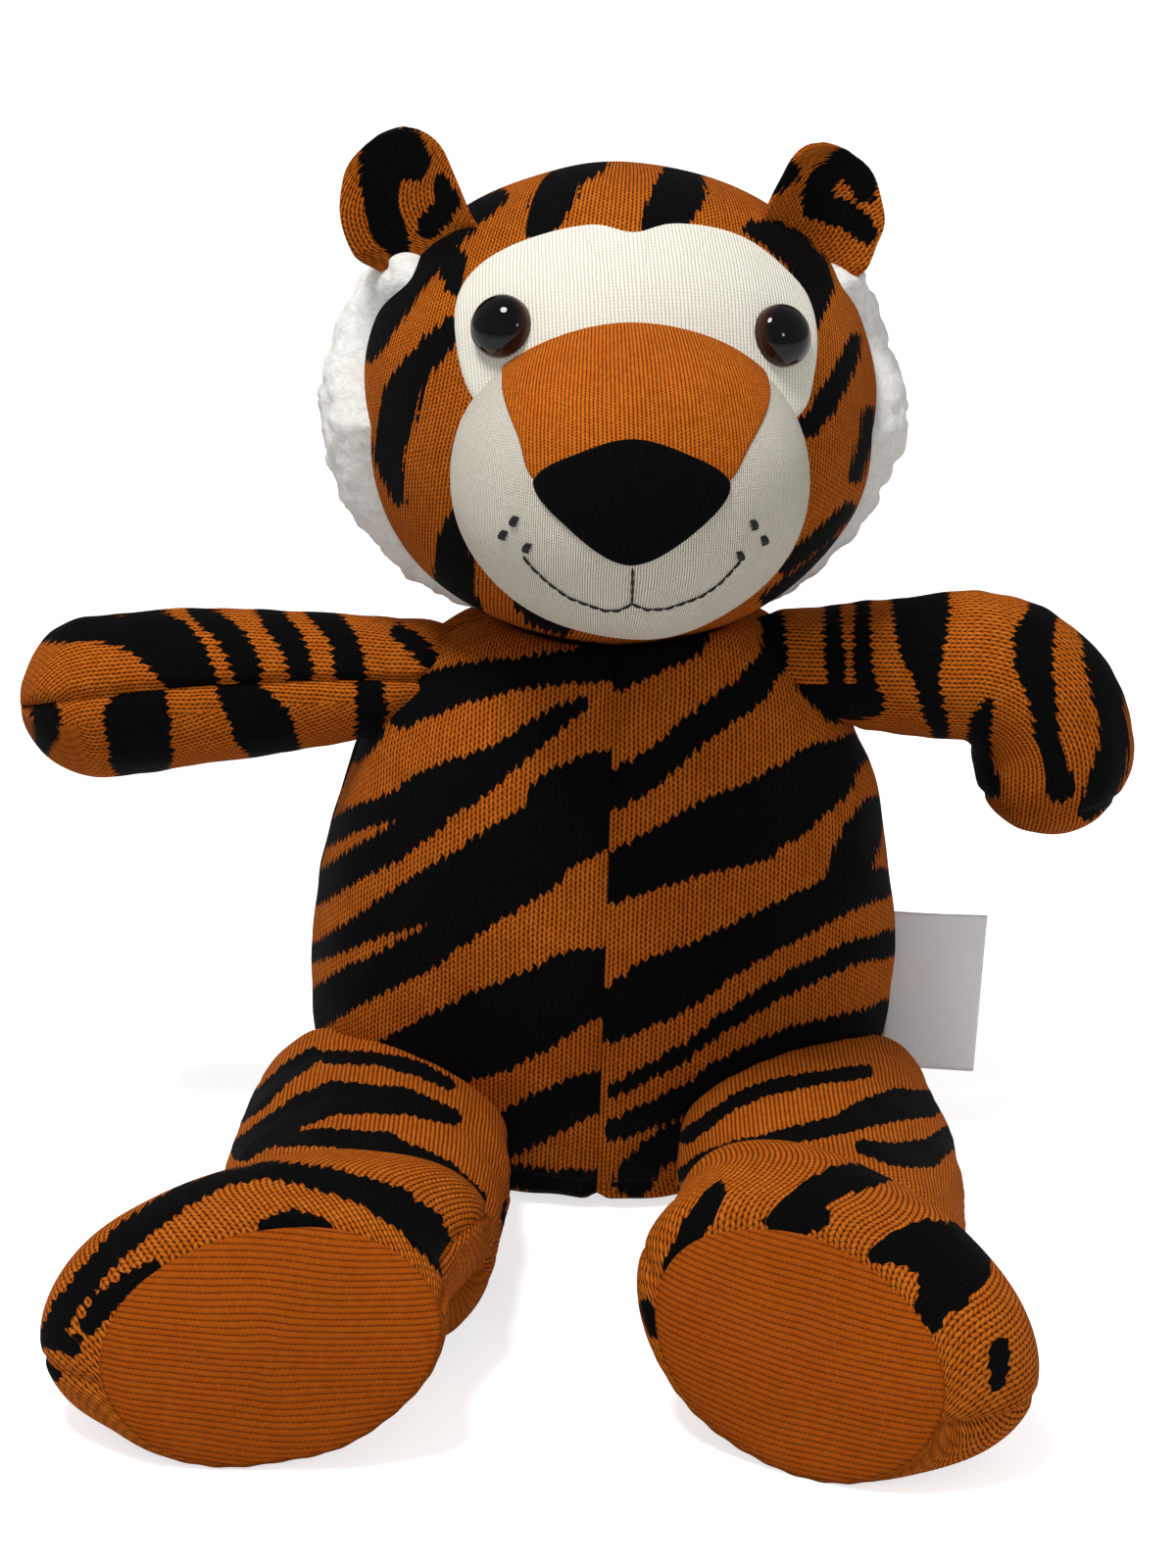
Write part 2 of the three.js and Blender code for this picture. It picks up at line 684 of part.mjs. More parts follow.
// Below the arms' tops the head keeps to the ball that turns in the torso's neck dish.
const headFloor = Math.max(rightShoulder.z, leftShoulder.z) + armRootHalfHeight + headRoomOverArms;
const lowSpace = new THREE.BoxGeometry(floorReach, floorReach, cutterOverrun);
lowSpace.translate(headCentreX, headCentreY, headFloor - cutterOverrun / 2);
const toHead = head.matrixWorld.clone().invert();
const overShoulders = solidFrom(moved(lowSpace, toHead));
const neckBall = ball(neckBallRadius, new THREE.Vector3());
const headTools = [overShoulders.subtract(neckBall)];

// The muzzle is a stuffed dome sewn over the face.
const muzzleCentre = new THREE.Vector3(muzzleShift, -muzzleSetForward, -muzzleDrop);
function muzzleForm(along, around, growth) {
  const angle = along * Math.PI;
  return new THREE.Vector3(
    (muzzleWidth / 2 + growth) * Math.sin(angle) * Math.cos(around),
    -(muzzleReach + growth) * Math.cos(angle),
    (muzzleHeight / 2 + growth) * Math.sin(angle) * Math.sin(around),
  ).add(muzzleCentre);
}
const muzzleAlongs = spread(0, 1, muzzleRows);
const muzzleSpace = wholeForm(muzzleForm, muzzleAlongs, muzzleTurns, clearance);
const underFace = wholeForm(headForm, headAlongs, headTurns, -clothThickness);
const headCloth = panel(headForm, faceAlongs, fullTurn(headTurns));

// An outline of the front view as a block through the front of the head, grown by a gap if need be.
function frontBlock(outline, gap) {
  const corners = outline.getPoints(curvePoints);
  if (corners[0].distanceTo(corners[corners.length - 1]) < roundError) corners.pop();
  const side = THREE.ShapeUtils.isClockWise(corners) ? -gap : gap;
  const grownCorners = corners.map((corner, i) => {
    const before = corners[(i + corners.length - 1) % corners.length];
    const after = corners[(i + 1) % corners.length];
    const run = after.clone().sub(before).normalize();
    return corner.clone().add(new THREE.Vector2(run.y, -run.x).multiplyScalar(side));
  });
  const block = new THREE.ExtrudeGeometry(new THREE.Shape(grownCorners), {
    depth: 2 * headDepth,
    steps: 1,
    bevelEnabled: false,
  });
  return solidFrom(block.rotateX(Math.PI / 2));
}

// Nose: an arched top edge and two full sides that meet at the tip.
const noseX = muzzleCentre.x;
const noseZ = muzzleCentre.z;
const nose = new THREE.Shape();
nose.moveTo(noseX - noseWidth / 2, noseZ + noseSideHeight);
nose.quadraticCurveTo(
  noseX,
  noseZ + 2 * noseTopHeight - noseSideHeight,
  noseX + noseWidth / 2,
  noseZ + noseSideHeight,
);
for (const side of [1, -1]) {
  const [endX, endZ] = side > 0 ? [0, noseTipHeight] : [-noseWidth / 2, noseSideHeight];
  const fullX = (side * noseFullnessShare * noseWidth) / 2;
  const fullZ = noseFullnessDropShare * noseTipHeight;
  nose.quadraticCurveTo(noseX + fullX, noseZ + fullZ, noseX + endX, noseZ + endZ);
}

// Bridge: from the nose's corners out to the forehead, and over the top of the muzzle.
const bridge = new THREE.Shape();
bridge.moveTo(noseX - noseWidth / 2, noseZ + noseSideHeight);
for (const side of [-1, 1]) {
  const x = noseX + (side * bridgeWidth) / 2;
  const heights = [bridgeSideHeight, muzzleHeight];
  for (const height of side < 0 ? heights : heights.reverse()) bridge.lineTo(x, noseZ + height);
}
bridge.lineTo(noseX + noseWidth / 2, noseZ + noseSideHeight);

// Forehead: two low arches with a notch between them, and sides that run down behind the muzzle.
const foreheadEdgeShares = [
  [0.87, 0],
  [0.975, 0.2],
  [0.99, 0.42],
  [0.92, 0.65],
  [0.69, 0.86],
  [0.44, 0.965],
  [0.2, 1],
  [0, 0.975],
];
const foreheadSide = (side) =>
  foreheadEdgeShares.map(
    ([acrossShare, upShare]) =>
      new THREE.Vector2(
        (side * acrossShare * foreheadWidth) / 2,
        foreheadBottom + upShare * (foreheadTop - foreheadBottom),
      ),
  );
const forehead = new THREE.Shape([...foreheadSide(1), ...foreheadSide(-1).reverse().slice(1)]);

// Safety eyes: a domed head on a shank, and a washer pushed on behind the cloth.
function turned(profile, matrix) {
  const points = profile.map(([radius, height]) => new THREE.Vector2(radius, height));
  return solidFrom(moved(new THREE.LatheGeometry(points, roundTurns), matrix));
}
function plug(radius, from, to, matrix) {
  return turned([[0, from], [radius, from], [radius, to], [0, to]], matrix);
}
const shankRadius = eyeShankDiameter / 2;
const domeProfile = spread(0, Math.PI / 2, eyeRows).map((angle) => [
  (eyeDiameter / 2) * Math.cos(angle),
  eyeRimHeight + (eyeRise - eyeRimHeight) * Math.sin(angle),
]);
domeProfile[eyeRows][0] = 0;
const eyeProfile = [
  [0, -eyeShankLength],
  [shankRadius, -eyeShankLength],
  [shankRadius, 0],
  [eyeDiameter / 2 - eyeRimHeight / 2, 0],
  ...domeProfile,
];
const washerTop = -(eyeSeatGap + eyeWasherDepth);
const washerBottom = washerTop - eyeWasherThickness;
const washerProfile = [
  [shankRadius + clearance, washerBottom],
  [eyeWasherDiameter / 2, washerBottom],
  [eyeWasherDiameter / 2, washerTop],
  [shankRadius + clearance, washerTop],
  [shankRadius + clearance, washerBottom],
];
const eyes = [1, -1].map((side) => {
  const { point, out } = placeOn(headForm, (side * eyeSpacing) / 2, eyeHeight);
  const facing = new THREE.Quaternion().setFromUnitVectors(alongY, out);
  const seat = point.clone().addScaledVector(out, eyeSeatGap);
  const matrix = new THREE.Matrix4().compose(seat, facing, new THREE.Vector3(1, 1, 1));
  return {
    side: side > 0 ? "left" : "right",
    eye: turned(eyeProfile, matrix),
    washer: turned(washerProfile, matrix),
    shankHole: plug(shankRadius + clearance, -eyeShankLength - clearance, eyeShankLength, matrix),
    washerPocket: plug(eyeWasherDiameter / 2 + clearance, washerBottom - clearance, 0, matrix),
  };
});
const shankHoles = eyes.map(({ shankHole }) => shankHole);
const washerPockets = eyes.map(({ washerPocket }) => washerPocket);

// Ears: two plies of knit, cupped forwards and sewn in where the face and the back meet.
const earWidthShares = [
  [0, 0.9, 0, 0],
  [0.3, 1, 0, 0],
  [0.6, 0.95, 0, 0],
  [0.82, 0.72, 0, 0],
  [0.95, 0.4, 0, 0],
  [1, 0.16, 0, 0],
];
const earWidths = smoothTable(earWidthShares);
const earEndShare = 0.08;
function earForm(side) {
  const base = new THREE.Vector3(earShift + (side * earSpacing) / 2, earRootBack, earRootHeight);
  const splay = radians(side * earSplayDegrees);
  const turn = radians(side * earTurnDegrees);
  return (along, around, growth) => {
    const rowShare = THREE.MathUtils.clamp((along - earEndShare) / (1 - 2 * earEndShare), 0, 1);
    const endShare = Math.min(along, 1 - along, earEndShare) / earEndShare;
    const [heightShare, widthShare] = earWidths(rowShare);
    const across = endShare * ((widthShare * earWidth) / 2 + growth) * Math.cos(around);
    const plyShift = (Math.sin(around) > -roundError ? clearance : -clearance) / 2;
    const thick = plyShift + endShare * (earThickness / 2 + growth) * Math.sin(around);
    const cupped = -earCup * (2 * across / earWidth) ** 2;
    const up = heightShare * (earHeight + 2 * growth) - growth;
    const local = new THREE.Vector3(across, thick + cupped, up);
    return local.applyAxisAngle(alongZ, turn).applyAxisAngle(alongY, splay).add(base);
  };
}
const onHead = wholeForm(headForm, headAlongs, headTurns, clearance);

const noseBlock = frontBlock(nose, 0);
const bridgeBlock = frontBlock(bridge, 0);
const foreheadBlock = frontBlock(forehead, 0);
const noseRoom = frontBlock(nose, clearance);
const bridgeRoom = frontBlock(bridge, clearance);
const foreheadRoom = frontBlock(forehead, clearance);

const faceCloth = cut(headCloth, muzzleSpace, ...headTools);
addPiece(head, "face_panel", cut(faceCloth, foreheadRoom), rustKnit);
addPiece(head, "forehead_patch", cut(faceCloth.intersect(foreheadBlock), ...shankHoles), creamKnit);

const muzzleFrontAlongs = muzzleAlongs.slice(0, muzzleFrontRows + 1);
const muzzleCloth = cut(panel(muzzleForm, muzzleFrontAlongs, fullTurn(muzzleTurns)), underFace);
addPiece(head, "muzzle_cover", cut(muzzleCloth, noseRoom, bridgeRoom), creamKnit);
addPiece(head, "nose_bridge", cut(muzzleCloth.intersect(bridgeBlock), noseRoom), rustKnit);
addPiece(head, "nose_tip", muzzleCloth.intersect(noseBlock), blackKnit);
const muzzleCore = wholeForm(muzzleForm, muzzleAlongs, muzzleTurns / 2, fillingShrink);
addPiece(head, "muzzle_filling", cut(muzzleCore, underFace), stuffing);

const earAlongs = [0, ...spread(earEndShare, 1 - earEndShare, earRows), 1];
const earSpaces = [];
for (const [side, name] of [[1, "left"], [-1, "right"]]) {
  const form = earForm(side);
  const hollowRadius = earThickness / 2 - clothThickness;
  const front = panel(form, earAlongs, seamToSeam(Math.PI, 2 * Math.PI, earTurns / 2, hollowRadius));
  const back = panel(form, earAlongs, seamToSeam(0, Math.PI, earTurns / 2, hollowRadius));
  addPiece(head, `ear_${name}_front`, cut(front, onHead), rustKnit);
  addPiece(head, `ear_${name}_back`, cut(back, onHead), rustKnit);
  earSpaces.push(wholeForm(form, earAlongs, earTurns, clearance));
}

const backCloth = panel(sherpaForm, backAlongs, fullTurn(headTurns), headForm);
addPiece(head, "head_back", cut(backCloth, overShoulders, ...earSpaces), sherpa);
const headCore = wholeForm(headForm, headAlongs, headTurns / 2, fillingShrink);
addPiece(head, "head_filling", cut(headCore, ...headTools, ...shankHoles, ...washerPockets), stuffing);
for (const { side, eye, washer } of eyes) {
  addPiece(head, `eye_${side}`, eye, eyePlastic);
  addPiece(head, `eye_${side}_washer`, washer, washerPlastic);
}

// The side label is a folded ribbon whose two ends are caught in the left side seam.
const labelHalf = labelPly + labelFoldGap / 2;
const labelOutline = new THREE.Shape();
labelOutline.moveTo(-labelRootInside, -labelHalf);
labelOutline.lineTo(labelReach - labelHalf, -labelHalf);
labelOutline.absarc(labelReach - labelHalf, 0, labelHalf, -Math.PI / 2, Math.PI / 2, false);
labelOutline.lineTo(-labelRootInside, labelHalf);
labelOutline.lineTo(-labelRootInside, labelFoldGap / 2);
labelOutline.lineTo(labelReach - labelHalf, labelFoldGap / 2);
labelOutline.absarc(labelReach - labelHalf, 0, labelFoldGap / 2, Math.PI / 2, -Math.PI / 2, true);
labelOutline.lineTo(-labelRootInside, -labelFoldGap / 2);
const labelRibbon = new THREE.ExtrudeGeometry(labelOutline, {
  depth: labelHeight,
  steps: 1,
  bevelEnabled: false,
  curveSegments: labelFoldSteps,
});
labelRibbon.rotateY(radians(labelDroopDegrees));
const labelRootX = torsoMiddleX(labelBottom + labelHeight / 2) + torsoWidth / 2;
labelRibbon.translate(labelRootX, 0, labelBottom);
const torsoSpace = wholeForm(torsoForm, torsoAlongs, torsoTurns, labelRootGap);
addPiece(tiger, "side_label", cut(solidFrom(labelRibbon), torsoSpace), satin);

export default tiger;
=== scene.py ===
import math

import bmesh
import bpy
import numpy as np
from mathutils import Matrix, Vector, noise
from mathutils.bvhtree import BVHTree
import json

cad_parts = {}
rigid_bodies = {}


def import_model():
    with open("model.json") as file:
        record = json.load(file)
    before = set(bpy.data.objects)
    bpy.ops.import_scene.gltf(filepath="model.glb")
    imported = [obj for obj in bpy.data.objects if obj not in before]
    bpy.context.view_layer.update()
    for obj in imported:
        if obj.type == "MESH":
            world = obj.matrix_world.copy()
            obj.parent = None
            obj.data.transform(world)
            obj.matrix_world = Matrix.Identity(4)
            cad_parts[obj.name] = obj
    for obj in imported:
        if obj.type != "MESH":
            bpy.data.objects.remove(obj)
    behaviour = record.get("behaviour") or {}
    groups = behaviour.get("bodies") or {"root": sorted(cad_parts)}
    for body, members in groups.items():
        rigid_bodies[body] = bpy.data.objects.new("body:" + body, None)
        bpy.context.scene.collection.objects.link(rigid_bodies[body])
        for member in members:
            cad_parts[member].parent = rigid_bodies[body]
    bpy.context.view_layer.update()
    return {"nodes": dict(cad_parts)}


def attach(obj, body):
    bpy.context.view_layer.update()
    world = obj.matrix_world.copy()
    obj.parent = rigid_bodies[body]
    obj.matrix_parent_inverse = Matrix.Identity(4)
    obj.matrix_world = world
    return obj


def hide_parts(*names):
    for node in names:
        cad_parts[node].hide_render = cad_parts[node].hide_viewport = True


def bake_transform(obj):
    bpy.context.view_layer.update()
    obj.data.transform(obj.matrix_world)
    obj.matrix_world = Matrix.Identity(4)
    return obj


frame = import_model()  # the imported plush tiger
mm = 0.001
halfTurn = math.pi
fullTurn = 2 * math.pi
floorGap = 0.3  # millimetres between the floor and the cloth that lies on it
scene = bpy.context.scene
print("frame loaded,", len(frame["nodes"]), "nodes")

# Camera: straight on, from a little above
cameraSetup = {"target": (-4.5, 0, 116.3), "distance": 1200, "elevation": 20, "lens": 90, "sensor": 36}
cameraTilt = math.radians(cameraSetup["elevation"])
towardsCamera = np.array([0, -math.cos(cameraTilt), math.sin(cameraTilt)])
cameraPlace = np.array(cameraSetup["target"]) + towardsCamera * cameraSetup["distance"]
cameraUp = np.array([0, math.sin(cameraTilt), math.cos(cameraTilt)])


def addCamera():
    data = bpy.data.cameras.new("frontCamera")
    data.lens = cameraSetup["lens"]
    data.sensor_width = cameraSetup["sensor"]
    data.clip_start, data.clip_end = 0.05, 20
    holder = bpy.data.objects.new("frontCamera", data)
    holder.location = Vector(cameraPlace) * mm
    holder.rotation_euler = (halfTurn / 2 - cameraTilt, 0, 0)
    scene.collection.objects.link(holder)
    scene.camera = holder


addCamera()

# Black tiger stripes of the knit, with painted shade at the top of the torso and in one armpit drawn as black
# too. Each stroke is a row of (across, up, half width) in millimetres, on a plane that faces the camera. Half
# widths are read straight up, or straight across on a steep stroke.
stripeAndShadeStrokes = {
    "torsoRight": [
        [(7, 38, 6), (-5, 36, 4), (-20, 34, 4), (-38, 31, 5), (-50, 27, 6), (-57, 21, 4)],
        [(-66, 16, 4), (-71, 10, 3)],
        [(-2, 24.5, 1), (-10, 20, 3), (-18, 14, 4.5), (-28, 6, 5), (-40, 0, 7.5), (-50, -5, 8)],
        [(-50, -4, 6), (-60, -7, 3.5), (-72, -11, 3), (-81, -16, 3)],
        [(-48, -8, 7), (-60, -18.5, 5), (-71, -24.5, 4.5), (-84, -33, 4)],
        [(7, -4, 15), (-5, -9, 15), (-18, -21, 14.5), (-30, -29, 14), (-40, -35, 12.5)],
        [(-40, -31, 9), (-50, -35, 7), (-60, -39.5, 5.5), (-72, -46, 3.5), (-84, -52, 2)],
        [(-36, -38, 10), (-48, -50, 5.5), (-60, -56, 5.5), (-72, -62, 6), (-85, -70, 6)],
        [(6, -60, 10), (-5, -63, 11), (-18, -70, 13), (-30, -76, 13), (-42, -80, 11), (-60, -81, 3)],
        [(4, -94, 6), (-5, -97, 6), (-15, -102, 7), (-26, -108, 7)],
        [(3, -122, 3.5), (-10, -123, 3.5), (-22, -120, 3)],
    ],
    "torsoLeft": [
        # painted shadow: this stroke is partly black yarn and partly the chin's shadow on the top of the
        # torso, drawn as black
        [(8, 36, 7), (18, 40, 6), (32, 44, 4)],
        [(57, 50, 3), (58, 40, 4), (50, 29, 5), (40, 22, 5), (30, 14, 5), (20, 5, 5), (8, -2, 5.5)],
        # painted shade: this stroke is partly black yarn and partly the armpit's shade, drawn as black
        [(66, 30, 1.5), (76, 24, 5)],
        [(82, 11, 5), (72, 3, 11), (60, -6, 12), (50, -12, 11.5), (40, -15, 11), (20, -23.5, 8), (7, -29, 7)],
        [(87, -8, 3.5), (83, -17, 5.5), (80, -27, 6), (76, -32, 5)],
        [(92, -30, 3), (80, -32, 6), (70, -37.5, 6), (50, -47.5, 6.5), (40, -53, 7.5), (30, -59, 9)],
        [(30, -59, 9), (20, -63.5, 9.5), (7, -71, 8)],
        [(94, -48.5, 3), (80, -52, 2.7), (60, -61.5, 2.5), (40, -74, 2), (30, -82, 1.8), (8, -94, 1)],
        [(93, -70, 3.5), (82, -75, 4.5), (60, -80, 4), (50, -85, 4.5), (40, -90, 4.5), (30, -97, 4)],
        [(30, -97, 4), (20, -101, 3), (8, -106, 2.3)],
        [(30, -108, 5), (20, -113, 4), (14, -121, 6)],
    ],
    "armRightUpper": [
        [(-166, 47, 3), (-157, 48.5, 3.5), (-148, 48, 3.8), (-139, 46, 4.5), (-132, 41, 5.5), (-122, 29, 6)],
        [(-141, 53, 1.5), (-133, 51, 2.5), (-127, 47, 4), (-123, 41, 5), (-118, 29, 5)],
        [(-120, 53, 2), (-112, 48, 3.3), (-108, 43, 3.7), (-105, 37, 3.8), (-104, 33, 3.5)],
        [(-98, 53, 3.5), (-94, 48, 3.5), (-90, 42, 3), (-88, 36, 3), (-88, 31, 3)],
        [(-83, 53, 3.5), (-77, 48, 3.2), (-74, 42, 3.2), (-73, 36, 3.7), (-72, 29, 4)],
        [(-58, 47, 2), (-53, 43, 2.5), (-49, 39, 2.5), (-47, 36, 1.5)],
    ],
    "armRightLower": [
        [(-167, 28, 3), (-166, 21, 3.5), (-166, 15, 2.5), (-167, 11, 1.5)],
        [(-136, 33, 5.5), (-136, 28, 6), (-138, 20, 9), (-137, 10, 8.5), (-136, 3, 7)],
        [(-111, 34, 4), (-109, 30, 5), (-104, 24.5, 7.5), (-100, 18, 9), (-96, 11, 8)],
        [(-67, 30, 3.5), (-66, 22, 4), (-67, 16, 3.5)],
    ],
    "armLeftUpper": [
        [(56, 50, 3.5), (57, 42, 3), (57, 32, 3)],
        [(75, 55, 2), (75, 47, 2), (75.5, 39, 2.2), (76, 31, 2.5)],
        [(84, 55, 2), (84, 47, 1.8), (84, 38, 2), (85, 30, 3)],
        [(66, 27, 2.5), (75, 25, 5), (86, 25, 4)],
        [(102, 54, 8.5), (102, 46, 7), (102.5, 38, 5), (104, 30, 3), (106, 22, 2.5), (108, 16, 2)],
        [(139, 52, 4.5), (136.5, 45, 5.5), (136.5, 37, 5), (138, 29, 4), (140, 21, 3.3)],
        [(153, 46, 2), (156, 40, 4), (158.5, 31, 4.5), (160.5, 22, 3.7), (161.5, 13, 4)],
    ],
    "armLeftLower": [
        [(122, 23, 1.5), (120, 18, 2.5), (119.5, 10, 3), (120.5, 4, 3), (123, -1, 3)],
        [(140, 21, 3.3), (141.5, 13, 3), (143, 6, 3.5), (145, -1, 4)],
        [(161.5, 13, 4), (160, 5, 4.5), (157, -3, 4.5), (153, -8, 3)],
    ],
    "legRight": [
        [(-108, -102, 2), (-100, -96, 2.5), (-92, -88, 2), (-84, -83, 1.5)],
        [(-80, -83.5, 0.8), (-65, -84, 1), (-52, -87, 1.2), (-42, -92, 0.8)],
        [(-106, -112, 3), (-97, -106, 4), (-88, -100, 4), (-78, -96, 4), (-56, -97, 3), (-41, -102, 1.5)],
        [(-95, -109, 1), (-82, -108, 1.5), (-62, -110, 2.5), (-52, -115, 2), (-44, -121, 2)],
        [(-44, -121, 2), (-36, -130, 1.7)],
        [(-60, -112, 1), (-52, -113, 1), (-42, -118, 1.2), (-33, -127, 1.3)],
    ],
    "legLeft": [
        [(30, -108, 1.5), (45, -97, 1.2), (55, -93, 1.2), (70, -90, 1), (85, -88, 1)],
        [(55, -109, 1), (65, -107, 1.5), (76, -104.5, 2), (86, -100.5, 3.5), (95, -98, 4), (104, -98, 3)],
        [(28, -120, 1), (35, -115, 1.2), (45, -111, 1), (60, -109, 0.8)],
        [(84, -111, 1), (94, -113.5, 2.5), (104, -113, 3.5), (111, -108, 3)],
    ],
    "footRightTop": [
        [(-100, -118, 1.5), (-90, -119, 2), (-78, -121.5, 3), (-68, -125, 3.7), (-58, -129.5, 5)],
        [(-58, -129.5, 5), (-50, -136, 6), (-45, -144, 3.5), (-42, -150, 1.5)],
        [(-165, -170, 2.5), (-160, -160, 3), (-152, -150, 3.5), (-143, -140, 4), (-133, -132, 3.5)],
        [(-133, -132, 3.5), (-122, -125, 2.5), (-112, -121, 1.5), (-100, -118, 1.5)],
        [(-133, -148, 1), (-141, -153, 2.5), (-148, -159, 3.3), (-153, -166, 2)],
        [(-158, -172, 2.5), (-162, -170, 2)],
        [(-100, -136, 1), (-90, -133.5, 2.5), (-80, -136, 1.5)],
    ],
    "footRightBottom": [
        [(-166, -174, 3), (-164, -180, 2)],
        [(-158, -172, 2.5), (-162, -178, 1.5)],
    ],
    "footLeftTop": [
        [(57, -134, 2.5), (62, -131, 4), (68, -126, 4.5), (76, -122, 4), (85, -119.5, 3), (95, -118, 2)],
        [(62, -133, 4), (69, -132, 4)],
        [(88, -144, 1.5), (95, -142, 4), (104, -142, 7.5), (112, -141, 6), (116, -146, 8), (108, -153, 8)],
        [(118, -150, 6), (112, -156, 5), (105, -160, 4), (106, -165, 2)],
        [(40, -124, 1.5), (38, -127, 2.5), (33, -135, 3.5), (29, -143, 3), (25, -150, 2)],
        [(18, -160, 1.5), (21, -168, 1.5)],
        [(126, -172, 1.5), (126, -178, 2), (125, -184, 1)],
    ],
    "face": [
        [(-27, 180, 1.5), (-35, 175, 3.5), (-43, 167, 5), (-51, 159, 6), (-59, 150, 6), (-67, 132, 2)],
        [(-42, 160, 4), (-41, 153, 2)],
        [(-41, 140, 3), (-46, 135, 4.5), (-52, 128, 4.5), (-57, 119, 5), (-61, 101, 4), (-58, 87, 1)],
        [(-40, 82, 1.5), (-41, 75, 3.5), (-41, 66, 5), (-41, 58, 5), (-38, 52, 5)],
        [(-21, 56, 2), (-16, 52, 3), (-8, 49, 2.5)],
        [(4, 190, 1.5), (-3, 188, 3.5), (-9, 182, 5.5), (-12, 176, 6), (-15, 171, 4)],
        [(29, 188, 4.5), (28, 182, 7.5), (25, 176, 7), (23, 171, 6)],
        [(50, 170, 1.5), (57, 168, 4), (63, 164, 5.5), (68, 158, 5), (70, 152, 4.5), (69, 141, 1)],
        [(82, 136, 1), (80, 130, 2), (76, 122, 2.5), (72, 115, 3), (67, 109, 3)],
        [(86, 114, 1), (85, 105, 1.5), (82, 94, 1.2)],
        [(80, 84, 2), (73, 77, 2.5), (66, 71, 2), (60, 66, 1.5)],
        [(76, 74, 1.5), (66, 64, 2.5), (56, 56, 3)],
    ],
    "earRight": [
        [(-62, 200, 3), (-62, 193, 7), (-64, 186, 5.5), (-63, 178, 4.5), (-61, 170, 4.5), (-58, 164, 3)],
        [(-56, 196, 5), (-53, 190, 4.5), (-57, 187, 2)],
        [(-45, 184, 1.5), (-43, 178, 3), (-46, 174, 4), (-49, 170, 3)],
    ],
    "earLeft": [
        [(57, 183, 2), (62, 187, 3)],
        [(79, 192, 3), (83, 187, 4.5), (85, 181, 2.5)],
        [(77, 190, 4), (72, 185, 4), (69, 179, 3)],
        [(70, 177, 3.5), (77, 175, 3.5), (82, 172, 4), (86, 168, 2.5)],
    ],
}
stripeSpread = 1.2  # how much wider a stripe is than its strokes, on each side
farOutside = 30  # the most that a point counts as outside a stripe


def stripeDepth(points, strokes, spread=stripeSpread):
    # how far inside a stripe each point lies, as the camera sees it, less than zero outside
    away = points - cameraPlace
    scale = cameraSetup["distance"] / -(away @ towardsCamera)
    across, up = away[:, 0] * scale, (away @ cameraUp) * scale
    depth = np.full(len(points), -farOutside, float)
    for stroke in strokes:
        for start, end in zip(stroke[:-1], stroke[1:]):
            runX, runY = end[0] - start[0], end[1] - start[1]
            length = math.hypot(runX, runY)
            share = np.clip(((across - start[0]) * runX + (up - start[1]) * runY) / length**2, 0, 1)
            slope = max(abs(runX), abs(runY)) / length
            gap = np.hypot(across - start[0] - share * runX, up - start[1] - share * runY)
            depth = np.maximum(depth, slope * (start[2] + (end[2] - start[2]) * share) - gap)
    return depth + spread


# Smooth tables, soft lumps and other small helpers
def smoothStep(before, a, b, after, t):
    # the smooth curve from a to b, led by the values before and after them
    bow = (b - before) * t + (2 * before - 5 * a + 4 * b - after) * t**2
    return a + 0.5 * (bow + (3 * a - before - 3 * b + after) * t**3)


def smoothTable(rows, share):
    # the table's columns, read smoothly at shares of the way from its first row to its last
    rows = np.array(rows, float)
    place = np.clip(share, 0, 1) * (len(rows) - 1)
    first = np.minimum(place.astype(int), len(rows) - 2)
    picks = (np.clip(first + k, 0, len(rows) - 1) for k in (-1, 0, 1, 2))
    return smoothStep(*(rows[pick] for pick in picks), (place - first)[:, None]).T


def lumps(points, *layers):
    # soft unevenness of stuffing, each layer with its depth, its length and its seed
    waves, calm = 7, 3.2
    total = np.zeros(len(points))
    for depth, size, seed in layers:
        dice = np.random.default_rng(seed)
        layer = np.zeros(len(points))
        for _ in range(waves):
            way = dice.normal(size=3)
            way /= np.linalg.norm(way)
            wave = points @ way * (fullTurn / size) * dice.uniform(0.7, 1.4)
            layer += np.sin(wave + dice.uniform(0, fullTurn))
        total += depth * (layer / calm)
    return total


def crease(distance, depth, width):
    return -depth * np.exp(-((distance / width) ** 2))


def angleFrom(around, angle):
    # how far round from an angle each place is, to either side
    return np.abs((around - angle + halfTurn) % fullTurn - halfTurn)


def runAlong(places, axis=0):
    # the length run from the first place, from place to place along one axis of a table
    steps = np.linalg.norm(np.diff(places, axis=axis), axis=-1)
    return np.insert(np.cumsum(steps, axis=axis), 0, 0, axis=axis)


def evenSteps(curve, low, high, spacing):
    # values between low and high at which the curve's points are evenly spaced
    fine = np.linspace(low, high, 400)
    run = runAlong(curve(fine))
    count = max(2, int(round(run[-1] / spacing)))
    return np.interp(np.linspace(0, run[-1], count + 1), run, fine)


def newPiece(name, bm, material):
    mesh = bpy.data.meshes.new(name)
    bm.to_mesh(mesh)
    bm.free()
    mesh.polygons.foreach_set("use_smooth", [True] * len(mesh.polygons))
    mesh.materials.append(material)
    piece = bpy.data.objects.new(name, mesh)
    scene.collection.objects.link(piece)
    return piece


def readAll(items, name, width=1, kind=float):
    values = np.zeros(len(items) * width, kind)
    items.foreach_get(name, values)
    return values.reshape(-1, width) if width > 1 else values


def coordinates(piece):
    return readAll(piece.data.vertices, "co", 3) / mm


def setCoordinates(piece, points):
    piece.data.vertices.foreach_set("co", (points * mm).astype(np.float32).ravel())
    piece.data.update()


